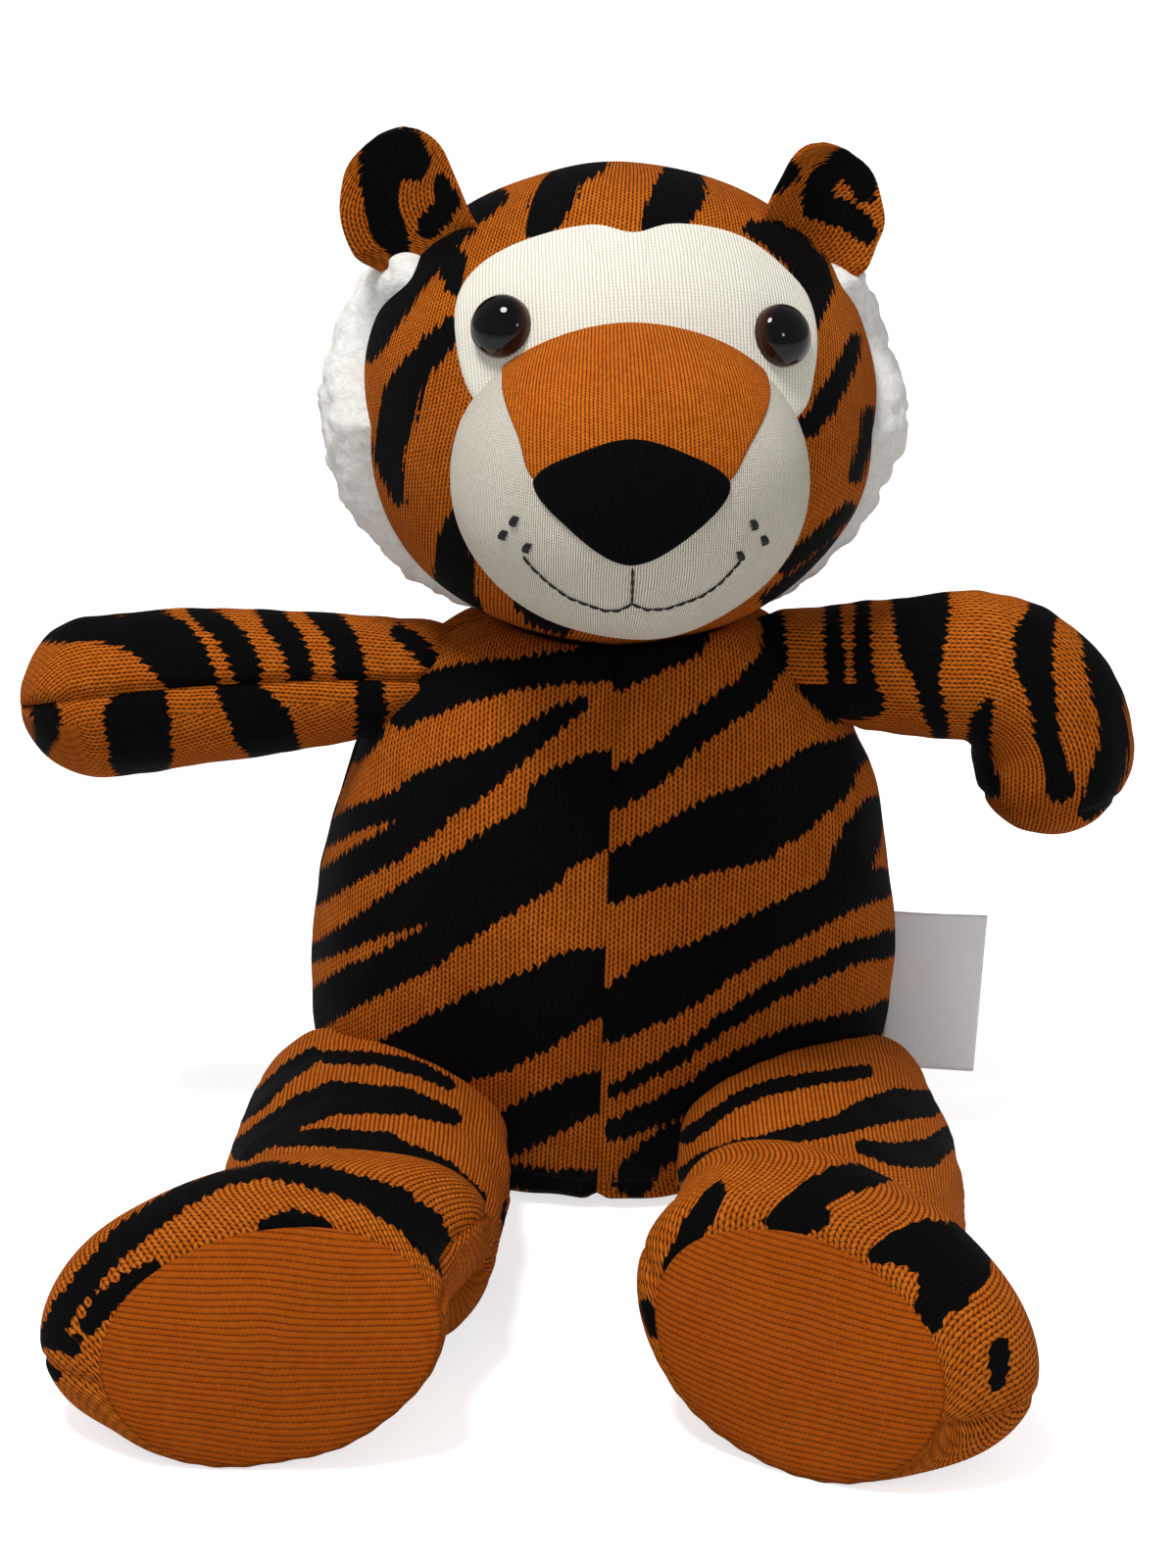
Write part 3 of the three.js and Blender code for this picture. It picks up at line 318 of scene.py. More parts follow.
def restOnFloor(piece):
    points = coordinates(piece)
    points[:, 2] = np.maximum(points[:, 2], floorGap)
    setCoordinates(piece, points)
    return points


def setValue(piece, name, values, domain="POINT"):
    layer = piece.data.attributes.new(name, "FLOAT", domain)
    layer.data.foreach_set("value", np.asarray(values, np.float32))


def stripeAll(piece, strokes, spread=stripeSpread):
    setValue(piece, "stripe", stripeDepth(coordinates(piece), strokes, spread) * mm)


def setStripes(piece, depths, panel):
    # depths holds each panel's stripes, and panel says which each face takes: stripes end at a seam
    mesh = piece.data
    corners = readAll(mesh.loops, "vertex_index", kind=int)
    starts = readAll(mesh.polygons, "loop_start", kind=int)
    faces = np.searchsorted(starts, np.arange(len(corners)), side="right") - 1
    # each face's middle, with the mean sine of its angle round the form
    table = np.column_stack([coordinates(piece), np.sin(readAll(mesh.attributes["around"].data, "value"))])
    middles = np.stack([np.bincount(faces, table[corners, i]) for i in range(4)], 1)
    picked = panel(middles / np.bincount(faces)[:, None])
    setValue(piece, "stripe", np.array(depths)[picked[faces], corners] * mm, "CORNER")


def gridPiece(name, form, alongs, arounds, material, stitches):
    # a sheet of cloth on a form: stitches gives its knit's across and up, in millimetres, on the grid
    bm = bmesh.new()
    bmesh.ops.create_grid(bm, x_segments=len(arounds) - 1, y_segments=len(alongs) - 1, size=0.5)
    piece = newPiece(name, bm, material)
    mesh = piece.data
    flat = coordinates(piece) * mm + 0.5
    column = np.rint(flat[:, 0] * (len(arounds) - 1)).astype(int)
    row = np.rint(flat[:, 1] * (len(alongs) - 1)).astype(int)
    points = form(alongs[row], arounds[column])
    table = np.zeros((len(alongs), len(arounds), 3))
    table[row, column] = points
    across, up = stitches(table)
    corners = readAll(mesh.loops, "vertex_index", kind=int)
    uv = np.stack([across[row, column], up[row, column]], 1)[corners] * mm
    mesh.uv_layers.new(name="knit").data.foreach_set("uv", uv.astype(np.float32).ravel())
    setCoordinates(piece, points)
    setValue(piece, "around", arounds[column])
    return piece


def closeUp(piece, middle=(0, 0, 0), gap=0.02):
    # merges doubled points where a sheet meets itself or runs to a pole, and turns its faces outwards
    bm = bmesh.new()
    bm.from_mesh(piece.data)
    bmesh.ops.remove_doubles(bm, verts=bm.verts, dist=gap * mm)
    bmesh.ops.dissolve_degenerate(bm, edges=bm.edges, dist=gap * mm / 4)
    origin = Vector(middle) * mm
    if sum(f.calc_area() * f.normal.dot(f.calc_center_median() - origin) for f in bm.faces) < 0:
        bmesh.ops.reverse_faces(bm, faces=bm.faces)
    bm.to_mesh(piece.data)
    bm.free()
    return piece


def alongTheCloth(reference, stretch=1.0):
    # wales run along the grid's columns, from one reference column on, pulled wider by the stretch
    def stitches(table):
        run = runAlong(table, 1)
        middle = int(round(reference * (table.shape[1] - 1)))
        up = runAlong(table[:, middle])
        across = (run - run[:, middle : middle + 1]) / stretch
        return across, np.repeat(up[:, None], table.shape[1], 1)

    return stitches


def fromThePole(turn=0.0):
    # wales run straight over the grid's first pole, as on a face or a sole
    def stitches(table):
        run = runAlong(table)
        angles = np.linspace(0, fullTurn, table.shape[1]) + turn
        return run * np.cos(angles), run * np.sin(angles)

    return stitches


def surfaceOf(piece):
    return BVHTree.FromObject(piece, bpy.context.evaluated_depsgraph_get())


# Materials
class Nodes:
    # one node tree, with short calls that add a node and give back its output
    def __init__(self, tree):
        self.tree = tree

    def add(self, kind, **settings):
        made = self.tree.nodes.new(kind)
        for key, value in settings.items():
            setattr(made, key, value)
        return made

    def feed(self, socket, value):
        if isinstance(value, bpy.types.NodeSocket):
            self.tree.links.new(value, socket)
        elif value is not None:
            socket.default_value = value

    def math(self, operation, a, b=None, c=None):
        made = self.add("ShaderNodeMath", operation=operation)
        for socket, value in zip(made.inputs, (a, b, c)):
            self.feed(socket, value)
        return made.outputs[0]

    def times(self, a, b):
        return self.math("MULTIPLY", a, b)

    def plus(self, a, b):
        return self.math("ADD", a, b)

    def minus(self, a, b):
        return self.math("SUBTRACT", a, b)

    def ramp(self, value, low, high, start=0.0, end=1.0):
        made = self.add("ShaderNodeMapRange", interpolation_type="SMOOTHSTEP")
        for socket, given in zip(made.inputs, (value, low, high, start, end)):
            self.feed(socket, given)
        return made.outputs[0]

    def mix(self, share, a, b):
        made = self.add("ShaderNodeMix", data_type="RGBA")
        for socket, value in ((made.inputs[0], share), (made.inputs[6], a), (made.inputs[7], b)):
            self.feed(socket, value)
        return made.outputs[2]

    def noise(self, vector, scale, detail=2.0, roughness=0.5):
        made = self.add("ShaderNodeTexNoise")
        given = {"Vector": vector, "Scale": scale, "Detail": detail, "Roughness": roughness}
        for key, value in given.items():
            self.feed(made.inputs[key], value)
        return made.outputs[0]

    def drifted(self, place, body, scale, amount):
        # a place moved about by soft noise
        drift = self.add("ShaderNodeTexNoise")
        self.feed(drift.inputs["Vector"], body)
        self.feed(drift.inputs["Scale"], scale)
        moved = self.add("ShaderNodeVectorMath", operation="MULTIPLY_ADD")
        for socket, value in zip(moved.inputs, (drift.outputs["Color"], (amount,) * 3, place)):
            self.feed(socket, value)
        return moved.outputs[0]

    def group(self, tree, **inputs):
        made = self.add("ShaderNodeGroup", node_tree=tree)
        for key, value in inputs.items():
            self.feed(made.inputs[key], value)
        return made.outputs


def newGroup(name, inputs, outputs):
    tree = bpy.data.node_groups.new(name, "ShaderNodeTree")
    for label, kind, value in inputs:
        socket = tree.interface.new_socket(label, in_out="INPUT", socket_type=kind)
        if value is not None:
            socket.default_value = value
    for label in outputs:
        tree.interface.new_socket(label, in_out="OUTPUT", socket_type="NodeSocketFloat")
    nodes = Nodes(tree)
    return nodes, nodes.add("NodeGroupInput").outputs, nodes.add("NodeGroupOutput").inputs


def buildKnitStitches():
    # V stitches: the yarn's height, the dark hole beside each stitch (black yarn showing through on the rust
    # knit, painted shade on the other knits), how far a point lies from the V's middle, and random values for
    # each leg of the V and for each stitch
    nodes, given, result = newGroup(
        "knitStitches",
        [
            ("Vector", "NodeSocketVector", None),
            ("Wale", "NodeSocketFloat", 0.0027),
            ("Course", "NodeSocketFloat", 0.0017),
            ("Lean", "NodeSocketFloat", 1.6),
            ("Gap", "NodeSocketFloat", 0.55),
        ],
        ["Height", "Hole", "Side", "LegValue", "StitchValue"],
    )
    parts = nodes.add("ShaderNodeSeparateXYZ")
    nodes.feed(parts.inputs[0], given["Vector"])
    across = nodes.math("DIVIDE", parts.outputs[0], given["Wale"])
    up = nodes.math("DIVIDE", parts.outputs[1], given["Course"])
    side = nodes.math("ABSOLUTE", nodes.minus(nodes.math("FRACT", across), 0.5))
    climb = nodes.minus(up, nodes.times(side, given["Lean"]))
    strand = nodes.math("FRACT", climb)
    strandBow = nodes.minus(nodes.times(strand, 2.0), 1.0)
    strandTop = nodes.minus(1.0, nodes.times(strandBow, strandBow))
    legBow = nodes.minus(nodes.times(side, 4.0), 1.0)
    legTop = nodes.minus(1.0, nodes.times(legBow, legBow))
    flat = nodes.minus(1.0, given["Gap"])
    strandShape = nodes.math("MULTIPLY_ADD", nodes.math("SQRT", strandTop), given["Gap"], flat)
    nodes.feed(result["Height"], nodes.times(nodes.math("SQRT", legTop), strandShape))
    betweenStrands = nodes.minus(1.0, strandTop)
    sunk = nodes.times(betweenStrands, nodes.minus(1.0, legTop))
    nodes.feed(result["Hole"], nodes.ramp(sunk, 0.08, 0.3))
    nodes.feed(result["Side"], side)
    legColumn = nodes.math("FLOOR", nodes.times(across, 2.0))
    legDice = nodes.add("ShaderNodeTexWhiteNoise", noise_dimensions="1D")
    nodes.feed(legDice.inputs["W"], legColumn)
    nodes.feed(result["LegValue"], legDice.outputs["Value"])
    cell = nodes.add("ShaderNodeCombineXYZ")
    nodes.feed(cell.inputs[0], legColumn)
    nodes.feed(cell.inputs[1], nodes.math("FLOOR", climb))
    stitchDice = nodes.add("ShaderNodeTexWhiteNoise", noise_dimensions="2D")
    nodes.feed(stitchDice.inputs["Vector"], cell.outputs[0])
    nodes.feed(result["StitchValue"], stitchDice.outputs["Value"])
    return nodes.tree


# how far a stripe's edge moves about, in metres
edgeSteps = {"tooth": 0.0013, "stitch": 0.0007, "point": 0.003, "soft": (-0.0001, 0.00012)}


def buildStripeEdge():
    # where the black yarn shows: the edge steps in and out from leg to leg and from stitch to stitch
    nodes, given, result = newGroup(
        "stripeEdge",
        [
            ("Depth", "NodeSocketFloat", 0.0),
            ("Side", "NodeSocketFloat", 0.25),
            ("LegValue", "NodeSocketFloat", 0.5),
            ("StitchValue", "NodeSocketFloat", 0.5),
        ],
        ["Black"],
    )
    tooth = nodes.times(nodes.minus(given["LegValue"], 0.5), edgeSteps["tooth"])
    step = nodes.times(nodes.minus(given["StitchValue"], 0.5), edgeSteps["stitch"])
    point = nodes.times(nodes.minus(given["Side"], 0.25), edgeSteps["point"])
    ragged = nodes.plus(nodes.plus(given["Depth"], tooth), nodes.plus(step, point))
    nodes.feed(result["Black"], nodes.ramp(ragged, *edgeSteps["soft"]))
    return nodes.tree


knitStitches = buildKnitStitches()
stripeEdge = buildStripeEdge()


def newMaterial(name, roughness, specular=0.3, sheen=0.0):
    material = bpy.data.materials.new(name)
    material.use_nodes = True
    nodes = Nodes(material.node_tree)
    shader = material.node_tree.nodes["Principled BSDF"]
    shader.inputs["Roughness"].default_value = roughness
    shader.inputs["Specular IOR Level"].default_value = specular
    shader.inputs["Sheen Weight"].default_value = sheen
    shader.inputs["Sheen Roughness"].default_value = 0.6
    return material, nodes, shader


def bump(nodes, shader, height, distance):
    made = nodes.add("ShaderNodeBump")
    nodes.feed(made.inputs["Height"], height)
    made.inputs["Distance"].default_value = distance
    made.inputs["Strength"].default_value = 1.0
    nodes.feed(shader.inputs["Normal"], made.outputs[0])


def rgb(*parts):
    # a colour as written on screen, made linear
    shares = [part / 255 for part in parts]
    return (*(((s + 0.055) / 1.055) ** 2.4 if s > 0.04 else s / 12.92 for s in shares), 1)


# how fine each noise in the knit is
clothNoise = {"drift": 90.0, "fuzz": 2600.0, "shade": 28.0, "wisp": 1500.0}
# black yarn: deep is painted shade down between its strands, top the lighter tone on its stitch tops, wisp
# its fuzz
blackYarn = {"deep": (2, 2, 3), "top": (10, 10, 9), "wisp": (25, 25, 24)}


def knitMaterial(name, look):
    material, nodes, shader = newMaterial(name, 0.95, specular=0.06)
    pale, deep, hole = (rgb(*look[key]) for key in ("pale", "deep", "hole"))
    uv = nodes.add("ShaderNodeUVMap", uv_map="knit").outputs[0]
    body = nodes.add("ShaderNodeTexCoord").outputs["Object"]
    knit = nodes.group(
        knitStitches,
        Vector=nodes.drifted(uv, body, clothNoise["drift"], look["drift"]),
        Wale=look["wale"],
        Course=look["course"],
        Lean=look["lean"],
        Gap=look["gap"],
    )
    fuzz = nodes.noise(body, clothNoise["fuzz"], 4.0, 0.65)
    shade = nodes.noise(body, clothNoise["shade"], 2.0)
    # painted shade: the yarn darkens to the deep colour where it sinks between the strands
    yarn = nodes.mix(nodes.ramp(knit["Height"], 0.3, 0.95), deep, rgb(*look["yarn"]))
    yarn = nodes.mix(nodes.ramp(knit["StitchValue"], 0.0, 1.0, 0.0, look["spread"]), yarn, pale)
    yarn = nodes.mix(nodes.ramp(shade, 0.35, 0.7, 0.0, 0.16), yarn, deep)
    # the hole's dark: black yarn showing through on the rust knit, painted shade in the gap on the other
    # knits
    yarn = nodes.mix(nodes.times(knit["Hole"], look["holeShare"]), yarn, hole)
    height = nodes.plus(knit["Height"], nodes.times(fuzz, look["fuzz"]))
    if look["striped"]:
        depth = nodes.add("ShaderNodeAttribute", attribute_name="stripe").outputs["Fac"]
        black = nodes.group(
            stripeEdge,
            Depth=depth,
            Side=knit["Side"],
            LegValue=knit["LegValue"],
            StitchValue=knit["StitchValue"],
        )["Black"]
        shadedBlack, topBlack, wispBlack = (rgb(*blackYarn[key]) for key in ("deep", "top", "wisp"))
        wisp = nodes.ramp(nodes.noise(body, clothNoise["wisp"], 5.0, 0.7), 0.52, 0.8)
        # painted shade: the black yarn is darkest down between the strands and a little lighter on the stitch
        # tops
        dark = nodes.mix(nodes.times(knit["Height"], 0.6), shadedBlack, topBlack)
        dark = nodes.mix(wisp, dark, wispBlack)
        yarn = nodes.mix(black, yarn, dark)
        soft = nodes.math("MULTIPLY_ADD", knit["Height"], 0.45, nodes.times(fuzz, 0.9))
        kept = nodes.times(height, nodes.minus(1.0, black))
        height = nodes.math("MULTIPLY_ADD", soft, black, kept)
    nodes.feed(shader.inputs["Base Color"], yarn)
    bump(nodes, shader, height, look["relief"])
    return material


# wale and course are a stitch's width and height in metres, lean how far a V's legs climb, and gap how
# deep the yarn sinks between two stitches. deep is the yarn's colour down between the strands, painted shade,
# and also the tone of the random darker patches
rustLook = {
    "wale": 0.0027,
    "course": 0.0017,
    "lean": 1.6,
    "gap": 0.55,
    "yarn": (192, 96, 18),
    "pale": (216, 122, 40),
    # deep: painted shade down between the strands, and the tone of the random darker patches
    "deep": (112, 48, 6),
    # hole: black yarn showing through here; on the knits without black yarn the hole's colour is painted
    # shade
    "hole": (30, 13, 3),
    "holeShare": 0.72,
    "spread": 0.35,
    "drift": 0.0004,
    "fuzz": 0.35,
    "relief": 0.0006,
    "striped": True,
}
fineLook = {
    **rustLook,
    "striped": False,
    "wale": 0.0024,
    "course": 0.00105,
    "lean": 1.5,
    "gap": 0.4,
    "yarn": (200, 100, 20),
    "pale": (222, 128, 44),
    "deep": (104, 42, 5),
    "hole": (80, 32, 5),
    "holeShare": 0.7,
    "relief": 0.00045,
}
soleLook = {
    **fineLook,
    "wale": 0.0036,
    "course": 0.0013,
    "lean": 1.2,
    "gap": 0.15,
    "yarn": (158, 73, 10),
    "pale": (172, 84, 16),
    "deep": (116, 50, 6),
    "hole": (84, 32, 3),
    "holeShare": 0.25,
    "relief": 0.0003,
}
creamLook = {
    **fineLook,
    "wale": 0.0022,
    "course": 0.00108,
    "lean": 0.4,
    "gap": 0.2,
    "yarn": (230, 227, 214),
    "pale": (237, 234, 223),
    "deep": (234, 230, 215),
    "hole": (204, 194, 164),
    "holeShare": 0.6,
    "spread": 0.5,
    "relief": 0.0003,
}
muzzleLook = {
    **creamLook,
    "wale": 0.0015,
    "course": 0.00095,
    "lean": 1.2,
    "gap": 0.4,
    "yarn": (232, 227, 213),
    "pale": (241, 237, 224),
    "deep": (184, 175, 154),
    "hole": (150, 138, 110),
    "holeShare": 0.9,
    "relief": 0.0004,
}
noseLook = {
    **fineLook,
    "wale": 0.0022,
    "course": 0.0011,
    "yarn": (6, 6, 7),
    "pale": (12, 12, 12),
    "deep": (2, 2, 3),
    "hole": (1, 1, 1),
    "holeShare": 0.5,
    "relief": 0.0004,
}
rustKnit = knitMaterial("rustKnit", rustLook)
fineRust = knitMaterial("fineRustKnit", fineLook)
soleKnit = knitMaterial("soleKnit", soleLook)
creamKnit = knitMaterial("creamKnit", creamLook)
muzzleKnit = knitMaterial("muzzleKnit", muzzleLook)
noseKnit = knitMaterial("noseKnit", noseLook)


def sherpaMaterial():
    material, nodes, shader = newMaterial("sherpaPile", 0.95, specular=0.05, sheen=0.1)
    body = nodes.add("ShaderNodeTexCoord").outputs["Object"]
    bent = nodes.drifted(body, body, 260.0, 0.006)
    curls = nodes.noise(bent, 420.0, 3.0, 0.55)
    fine = nodes.noise(bent, 2200.0, 4.0, 0.7)
    broad = nodes.noise(body, 70.0, 2.0)
    # painted shade: the pile is darker where its curls and fine fuzz sink, from the same noise as its bump;
    # the broad patches are random tone
    tone = nodes.mix(nodes.ramp(curls, 0.3, 0.62), rgb(220, 218, 212), rgb(237, 236, 232))
    tone = nodes.mix(nodes.ramp(broad, 0.4, 0.7, 0.0, 0.3), tone, rgb(222, 220, 213))
    tone = nodes.mix(nodes.ramp(fine, 0.35, 0.6, 0.2, 0.0), tone, rgb(208, 206, 200))
    nodes.feed(shader.inputs["Base Color"], tone)
    height = nodes.plus(nodes.times(fine, 0.35), curls)
    bump(nodes, shader, height, 0.0005)
    return material


def eyeMaterial():
    material, nodes, shader = newMaterial("eyePlastic", 0.03, specular=0.22)
    rim = nodes.add("ShaderNodeAttribute", attribute_name="rim").outputs["Fac"]
    tone = nodes.mix(nodes.ramp(rim, 0.3, 1.0), rgb(4, 3, 3), rgb(52, 28, 20))
    nodes.feed(shader.inputs["Base Color"], tone)
    return material


def threadMaterial():
    material, nodes, shader = newMaterial("blackThread", 0.6, specular=0.2)
    body = nodes.add("ShaderNodeTexCoord").outputs["Object"]
    ply = nodes.noise(body, 3000.0, 2.0)
    nodes.feed(shader.inputs["Base Color"], nodes.mix(ply, rgb(10, 10, 12), rgb(38, 36, 38)))
    bump(nodes, shader, ply, 0.0002)
    return material


def satinMaterial():
    material, nodes, shader = newMaterial("satinRibbon", 0.5, specular=0.2, sheen=0.15)
    uv = nodes.add("ShaderNodeUVMap", uv_map="knit").outputs[0]
    waves = []
    for way, scale in (("Y", 900.0), ("X", 700.0)):
        wave = nodes.add("ShaderNodeTexWave", bands_direction=way)
        nodes.feed(wave.inputs["Vector"], uv)
        wave.inputs["Scale"].default_value = scale
        waves.append(wave.outputs["Fac"])
    threads = nodes.plus(waves[0], nodes.times(waves[1], 0.5))
    nodes.feed(shader.inputs["Base Color"], nodes.mix(threads, rgb(222, 222, 224), rgb(244, 244, 245)))
    bump(nodes, shader, threads, 0.00008)
    return material


sherpaPile = sherpaMaterial()
eyePlastic = eyeMaterial()
blackThread = threadMaterial()
satinRibbon = satinMaterial()
print("materials made")


# Forms: the way along is 0 to 1 from pole to pole, and growth is how far the cloth stands off the form
def turnAbout(axis, degrees):
    return np.array(Matrix.Rotation(math.radians(degrees), 3, axis)).T


def capped(along, endShare):
    # the share of the way between a form's two ends, and how far out of its pole each end has come
    share = (along - endShare) / (1 - 2 * endShare)
    return share, np.minimum(np.minimum(along, 1 - along), endShare) / endShare


torso = {
    "height": 175,
    "halfWidth": 90.5,
    "front": 64,
    "back": 58,
    "middle": -2,
    "lean": 5.5,
    "endShare": 0.05,
    "seatSeam": 8,
    "grid": 1.7,
    "fill": 0.75,
}
# the share of the height, then of the half width, the front and the back
torsoSections = [
    (0, 0.61, 0.56, 0.59),
    (0.016, 0.82, 0.83, 0.79),
    (0.047, 0.885, 0.9, 0.86),
    (0.145, 0.965, 0.96, 0.94),
    (0.29, 1, 1, 0.99),
    (0.44, 0.99, 1, 1),
    (0.58, 0.945, 0.96, 0.965),
    (0.72, 0.875, 0.875, 0.88),
    (0.84, 0.76, 0.75, 0.765),
    (0.93, 0.61, 0.61, 0.64),
    (0.98, 0.44, 0.45, 0.5),
    (1, 0.2, 0.2, 0.24),
]
neckDish = {"centre": (4.5, 2, 233.5), "size": (76, 73, 70), "gap": 0.5}
torsoSeams = {"width": 2.2, "centre": 1.5, "side": 1.7, "seat": 1.5, "seatWidth": 2.0}


def torsoForm(along, around, growth=0.0):
    share, end = capped(along, torso["endShare"])
    height, width, front, back = smoothTable(torsoSections, share)
    z = height * (torso["height"] + 0.5 + 2 * growth) - 0.5 - growth
    depth = np.where(np.sin(around) < 0, front * torso["front"], back * torso["back"]) + growth
    x = torso["middle"] + torso["lean"] * z / torso["height"]
    x = x + end * (width * torso["halfWidth"] + growth) * np.cos(around)
    return np.stack([x, end * depth * np.sin(around), z], 1)


def torsoCloth(along, around):
    plain = torsoForm(along, around)
    growth = lumps(plain, (0.7, 46, 11), (0.25, 17, 12))
    middle = torso["middle"] + torso["lean"] * plain[:, 2] / torso["height"]
    growth += crease(plain[:, 0] - middle, torsoSeams["centre"], torsoSeams["width"])
    growth += crease(plain[:, 1], torsoSeams["side"], torsoSeams["width"])
    growth += crease(plain[:, 2] - torso["seatSeam"], torsoSeams["seat"], torsoSeams["seatWidth"])
    points = torsoForm(along, around, growth)
    centre, size = neckDish["centre"], neckDish["size"]
    off = ((points[:, 0] - centre[0]) / size[0]) ** 2 + ((points[:, 1] - centre[1]) / size[1]) ** 2
    underHead = centre[2] - size[2] * np.sqrt(np.maximum(0, 1 - off)) - neckDish["gap"]
    points[:, 2] = np.maximum(np.minimum(points[:, 2], underHead), floorGap)
    return points


def limbForm(spine, hinge, halfAcross, halfUp, caps=0.2, rootReach=1.0, rootFullness=1.0):
    # rootReach and rootFullness say how far the root's cap runs on, and how full it is
    def form(along, around, growth=0.0):
        share = np.clip((along - caps) / (1 - 2 * caps), 0, 1)
        cap = (np.maximum(0, along - 1 + caps) - np.maximum(0, caps - along)) / caps * halfTurn / 2
        middle, forward = spine(share)
        up = np.cross(forward, hinge)
        up /= np.linalg.norm(up, axis=1)[:, None]
        across, height = halfAcross(share) + growth, halfUp(share) + growth
        reach = height * np.sin(cap) * np.where(cap < 0, rootReach, 1)
        full = np.maximum(np.cos(cap), 0) ** np.where(cap < 0, rootFullness, 1)
        return (
            middle
            + forward * reach[:, None]
            + np.array(hinge) * (across * full * np.cos(around))[:, None]
            + up * (height * full * np.sin(around))[:, None]
        )

    return form


rightArm = {"shoulder": (-62, 0, 150.5), "reach": 90, "drop": 6, "seam": 0.33, "fill": 0.8}
leftArm = {"shoulder": (66, 0, 154.5), "upper": 43, "bend": 28, "pawSeam": 114, "fill": 0.8}
armSizes = {"rootDepth": 20.5, "pawDepth": 25.5, "rootHeight": 17.5, "pawHeight": 24.5, "grid": 1.5}
leg = {
    "right": -69,
    "left": 63,
    "hip": (-28, 24),
    "ankle": (-144, 28.3),
    "width": (37, 38),
    "swell": 4,
    "height": (24.5, 28.8),
    "slant": 2.2,
    "lowerShift": 34,
    "grid": 1.6,
    "fill": 0.75,
}
tail = {
    "root": (0, 50, 11.5),
    "bend": (0, 94, 11.5),
    "tip": (18, 138, 11.5),
    "radius": 12,
    "stripe": 8.4,
    "stripeStep": 19,
    "stripeSway": 2.5,
    "grid": 1.4,
    "fill": 0.8,
}


def rightArmSpine(share):
    x, y, z = rightArm["shoulder"]
    middle = np.stack([x - rightArm["reach"] * share, y + 0 * share, z - rightArm["drop"] * share**2], 1)
    forward = np.stack([-rightArm["reach"] + 0 * share, 0 * share, -2 * rightArm["drop"] * share], 1)
    return middle, forward / np.linalg.norm(forward, axis=1)[:, None]


def leftArmSpine(share):
    x, y, z = leftArm["shoulder"]
    run = share * (leftArm["upper"] + leftArm["bend"] * halfTurn / 2)
    angle = np.maximum(0, run - leftArm["upper"]) / leftArm["bend"]
    straight = np.minimum(run, leftArm["upper"])
    middleX = x + straight + leftArm["bend"] * np.sin(angle)
    middleZ = z - leftArm["bend"] * (1 - np.cos(angle))
    forward = np.stack([np.cos(angle), 0 * share, -np.sin(angle)], 1)
    return np.stack([middleX, y + 0 * share, middleZ], 1), forward


def swell(low, high):
    return lambda share: low + (high - low) * np.sin(share * halfTurn / 2)


def armForm(spine, hinge):
    across = swell(armSizes["rootDepth"], armSizes["pawDepth"])
    up = swell(armSizes["rootHeight"], armSizes["pawHeight"])
    return limbForm(spine, hinge, across, up, rootReach=1.5, rootFullness=0.4)


rightArmForm = armForm(rightArmSpine, (0, -1, 0))
leftArmForm = armForm(leftArmSpine, (0, 1, 0))


def legForm(side):
    (hipY, hipZ), (ankleY, ankleZ) = leg["hip"], leg["ankle"]

    def spine(share):
        y, z = hipY + (ankleY - hipY) * share, hipZ + (ankleZ - hipZ) * share
        middle = np.stack([leg[side] + 0 * share, y, z], 1)
        forward = np.array([0, ankleY - hipY, ankleZ - hipZ], float)
        return middle, np.tile(forward / np.linalg.norm(forward), (len(share), 1))

    def width(share):
        hip, ankle = leg["width"]
        return hip + (ankle - hip) * share + leg["swell"] * np.sin(share * halfTurn)

    def height(share):
        hip, ankle = leg["height"]
        return hip + (ankle - hip) * share

    return limbForm(spine, (1, 0, 0), width, height)


def tailSpine(share):
    root, bend, tip = (np.array(tail[key], float) for key in ("root", "bend", "tip"))
    t = share[:, None]
    middle = root * (1 - t) ** 2 + 2 * bend * t * (1 - t) + tip * t**2
    forward = 2 * (bend - root) * (1 - t) + 2 * (tip - bend) * t
    return middle, forward / np.linalg.norm(forward, axis=1)[:, None]


tailRadius = swell(tail["radius"], tail["radius"])
tailForm = limbForm(tailSpine, (0, 0, 1), tailRadius, tailRadius)

foot = {
    "length": 113,
    "height": 65,
    "depth": 60,
    "endShare": 0.12,
    "roll": 14,
    "crown": 5,
    "tilt": 0.34,
    "right": {"shift": -29, "turn": 1, "sole": (1, 0.95, 0, -1.8)},
    "left": {"shift": 22, "turn": -30, "sole": (0.93, 0.94, 4.4, -3)},
    "grid": 1.5,
    "stretch": 1.25,
    "slant": 1.4,
    "level": 3,
    "overlap": 0.014,
    "tuck": 1.4,
    "fill": 0.8,
}
# the share of the depth, then of the length and the height, and how far the section is moved
footSections = [
    (0, 0.5, 0.55, 0),
    (0.05, 0.74, 0.78, 0.15),
    (0.2, 0.92, 0.94, 0.5),
    (0.45, 1, 1, 0.9),
    (0.7, 0.99, 1, 1),
    (0.9, 0.92, 0.985, 0.85),
    (1, 0.83, 0.965, 0.72),
]


def footRoll(side):
    return math.copysign(foot["roll"], foot[side]["shift"])


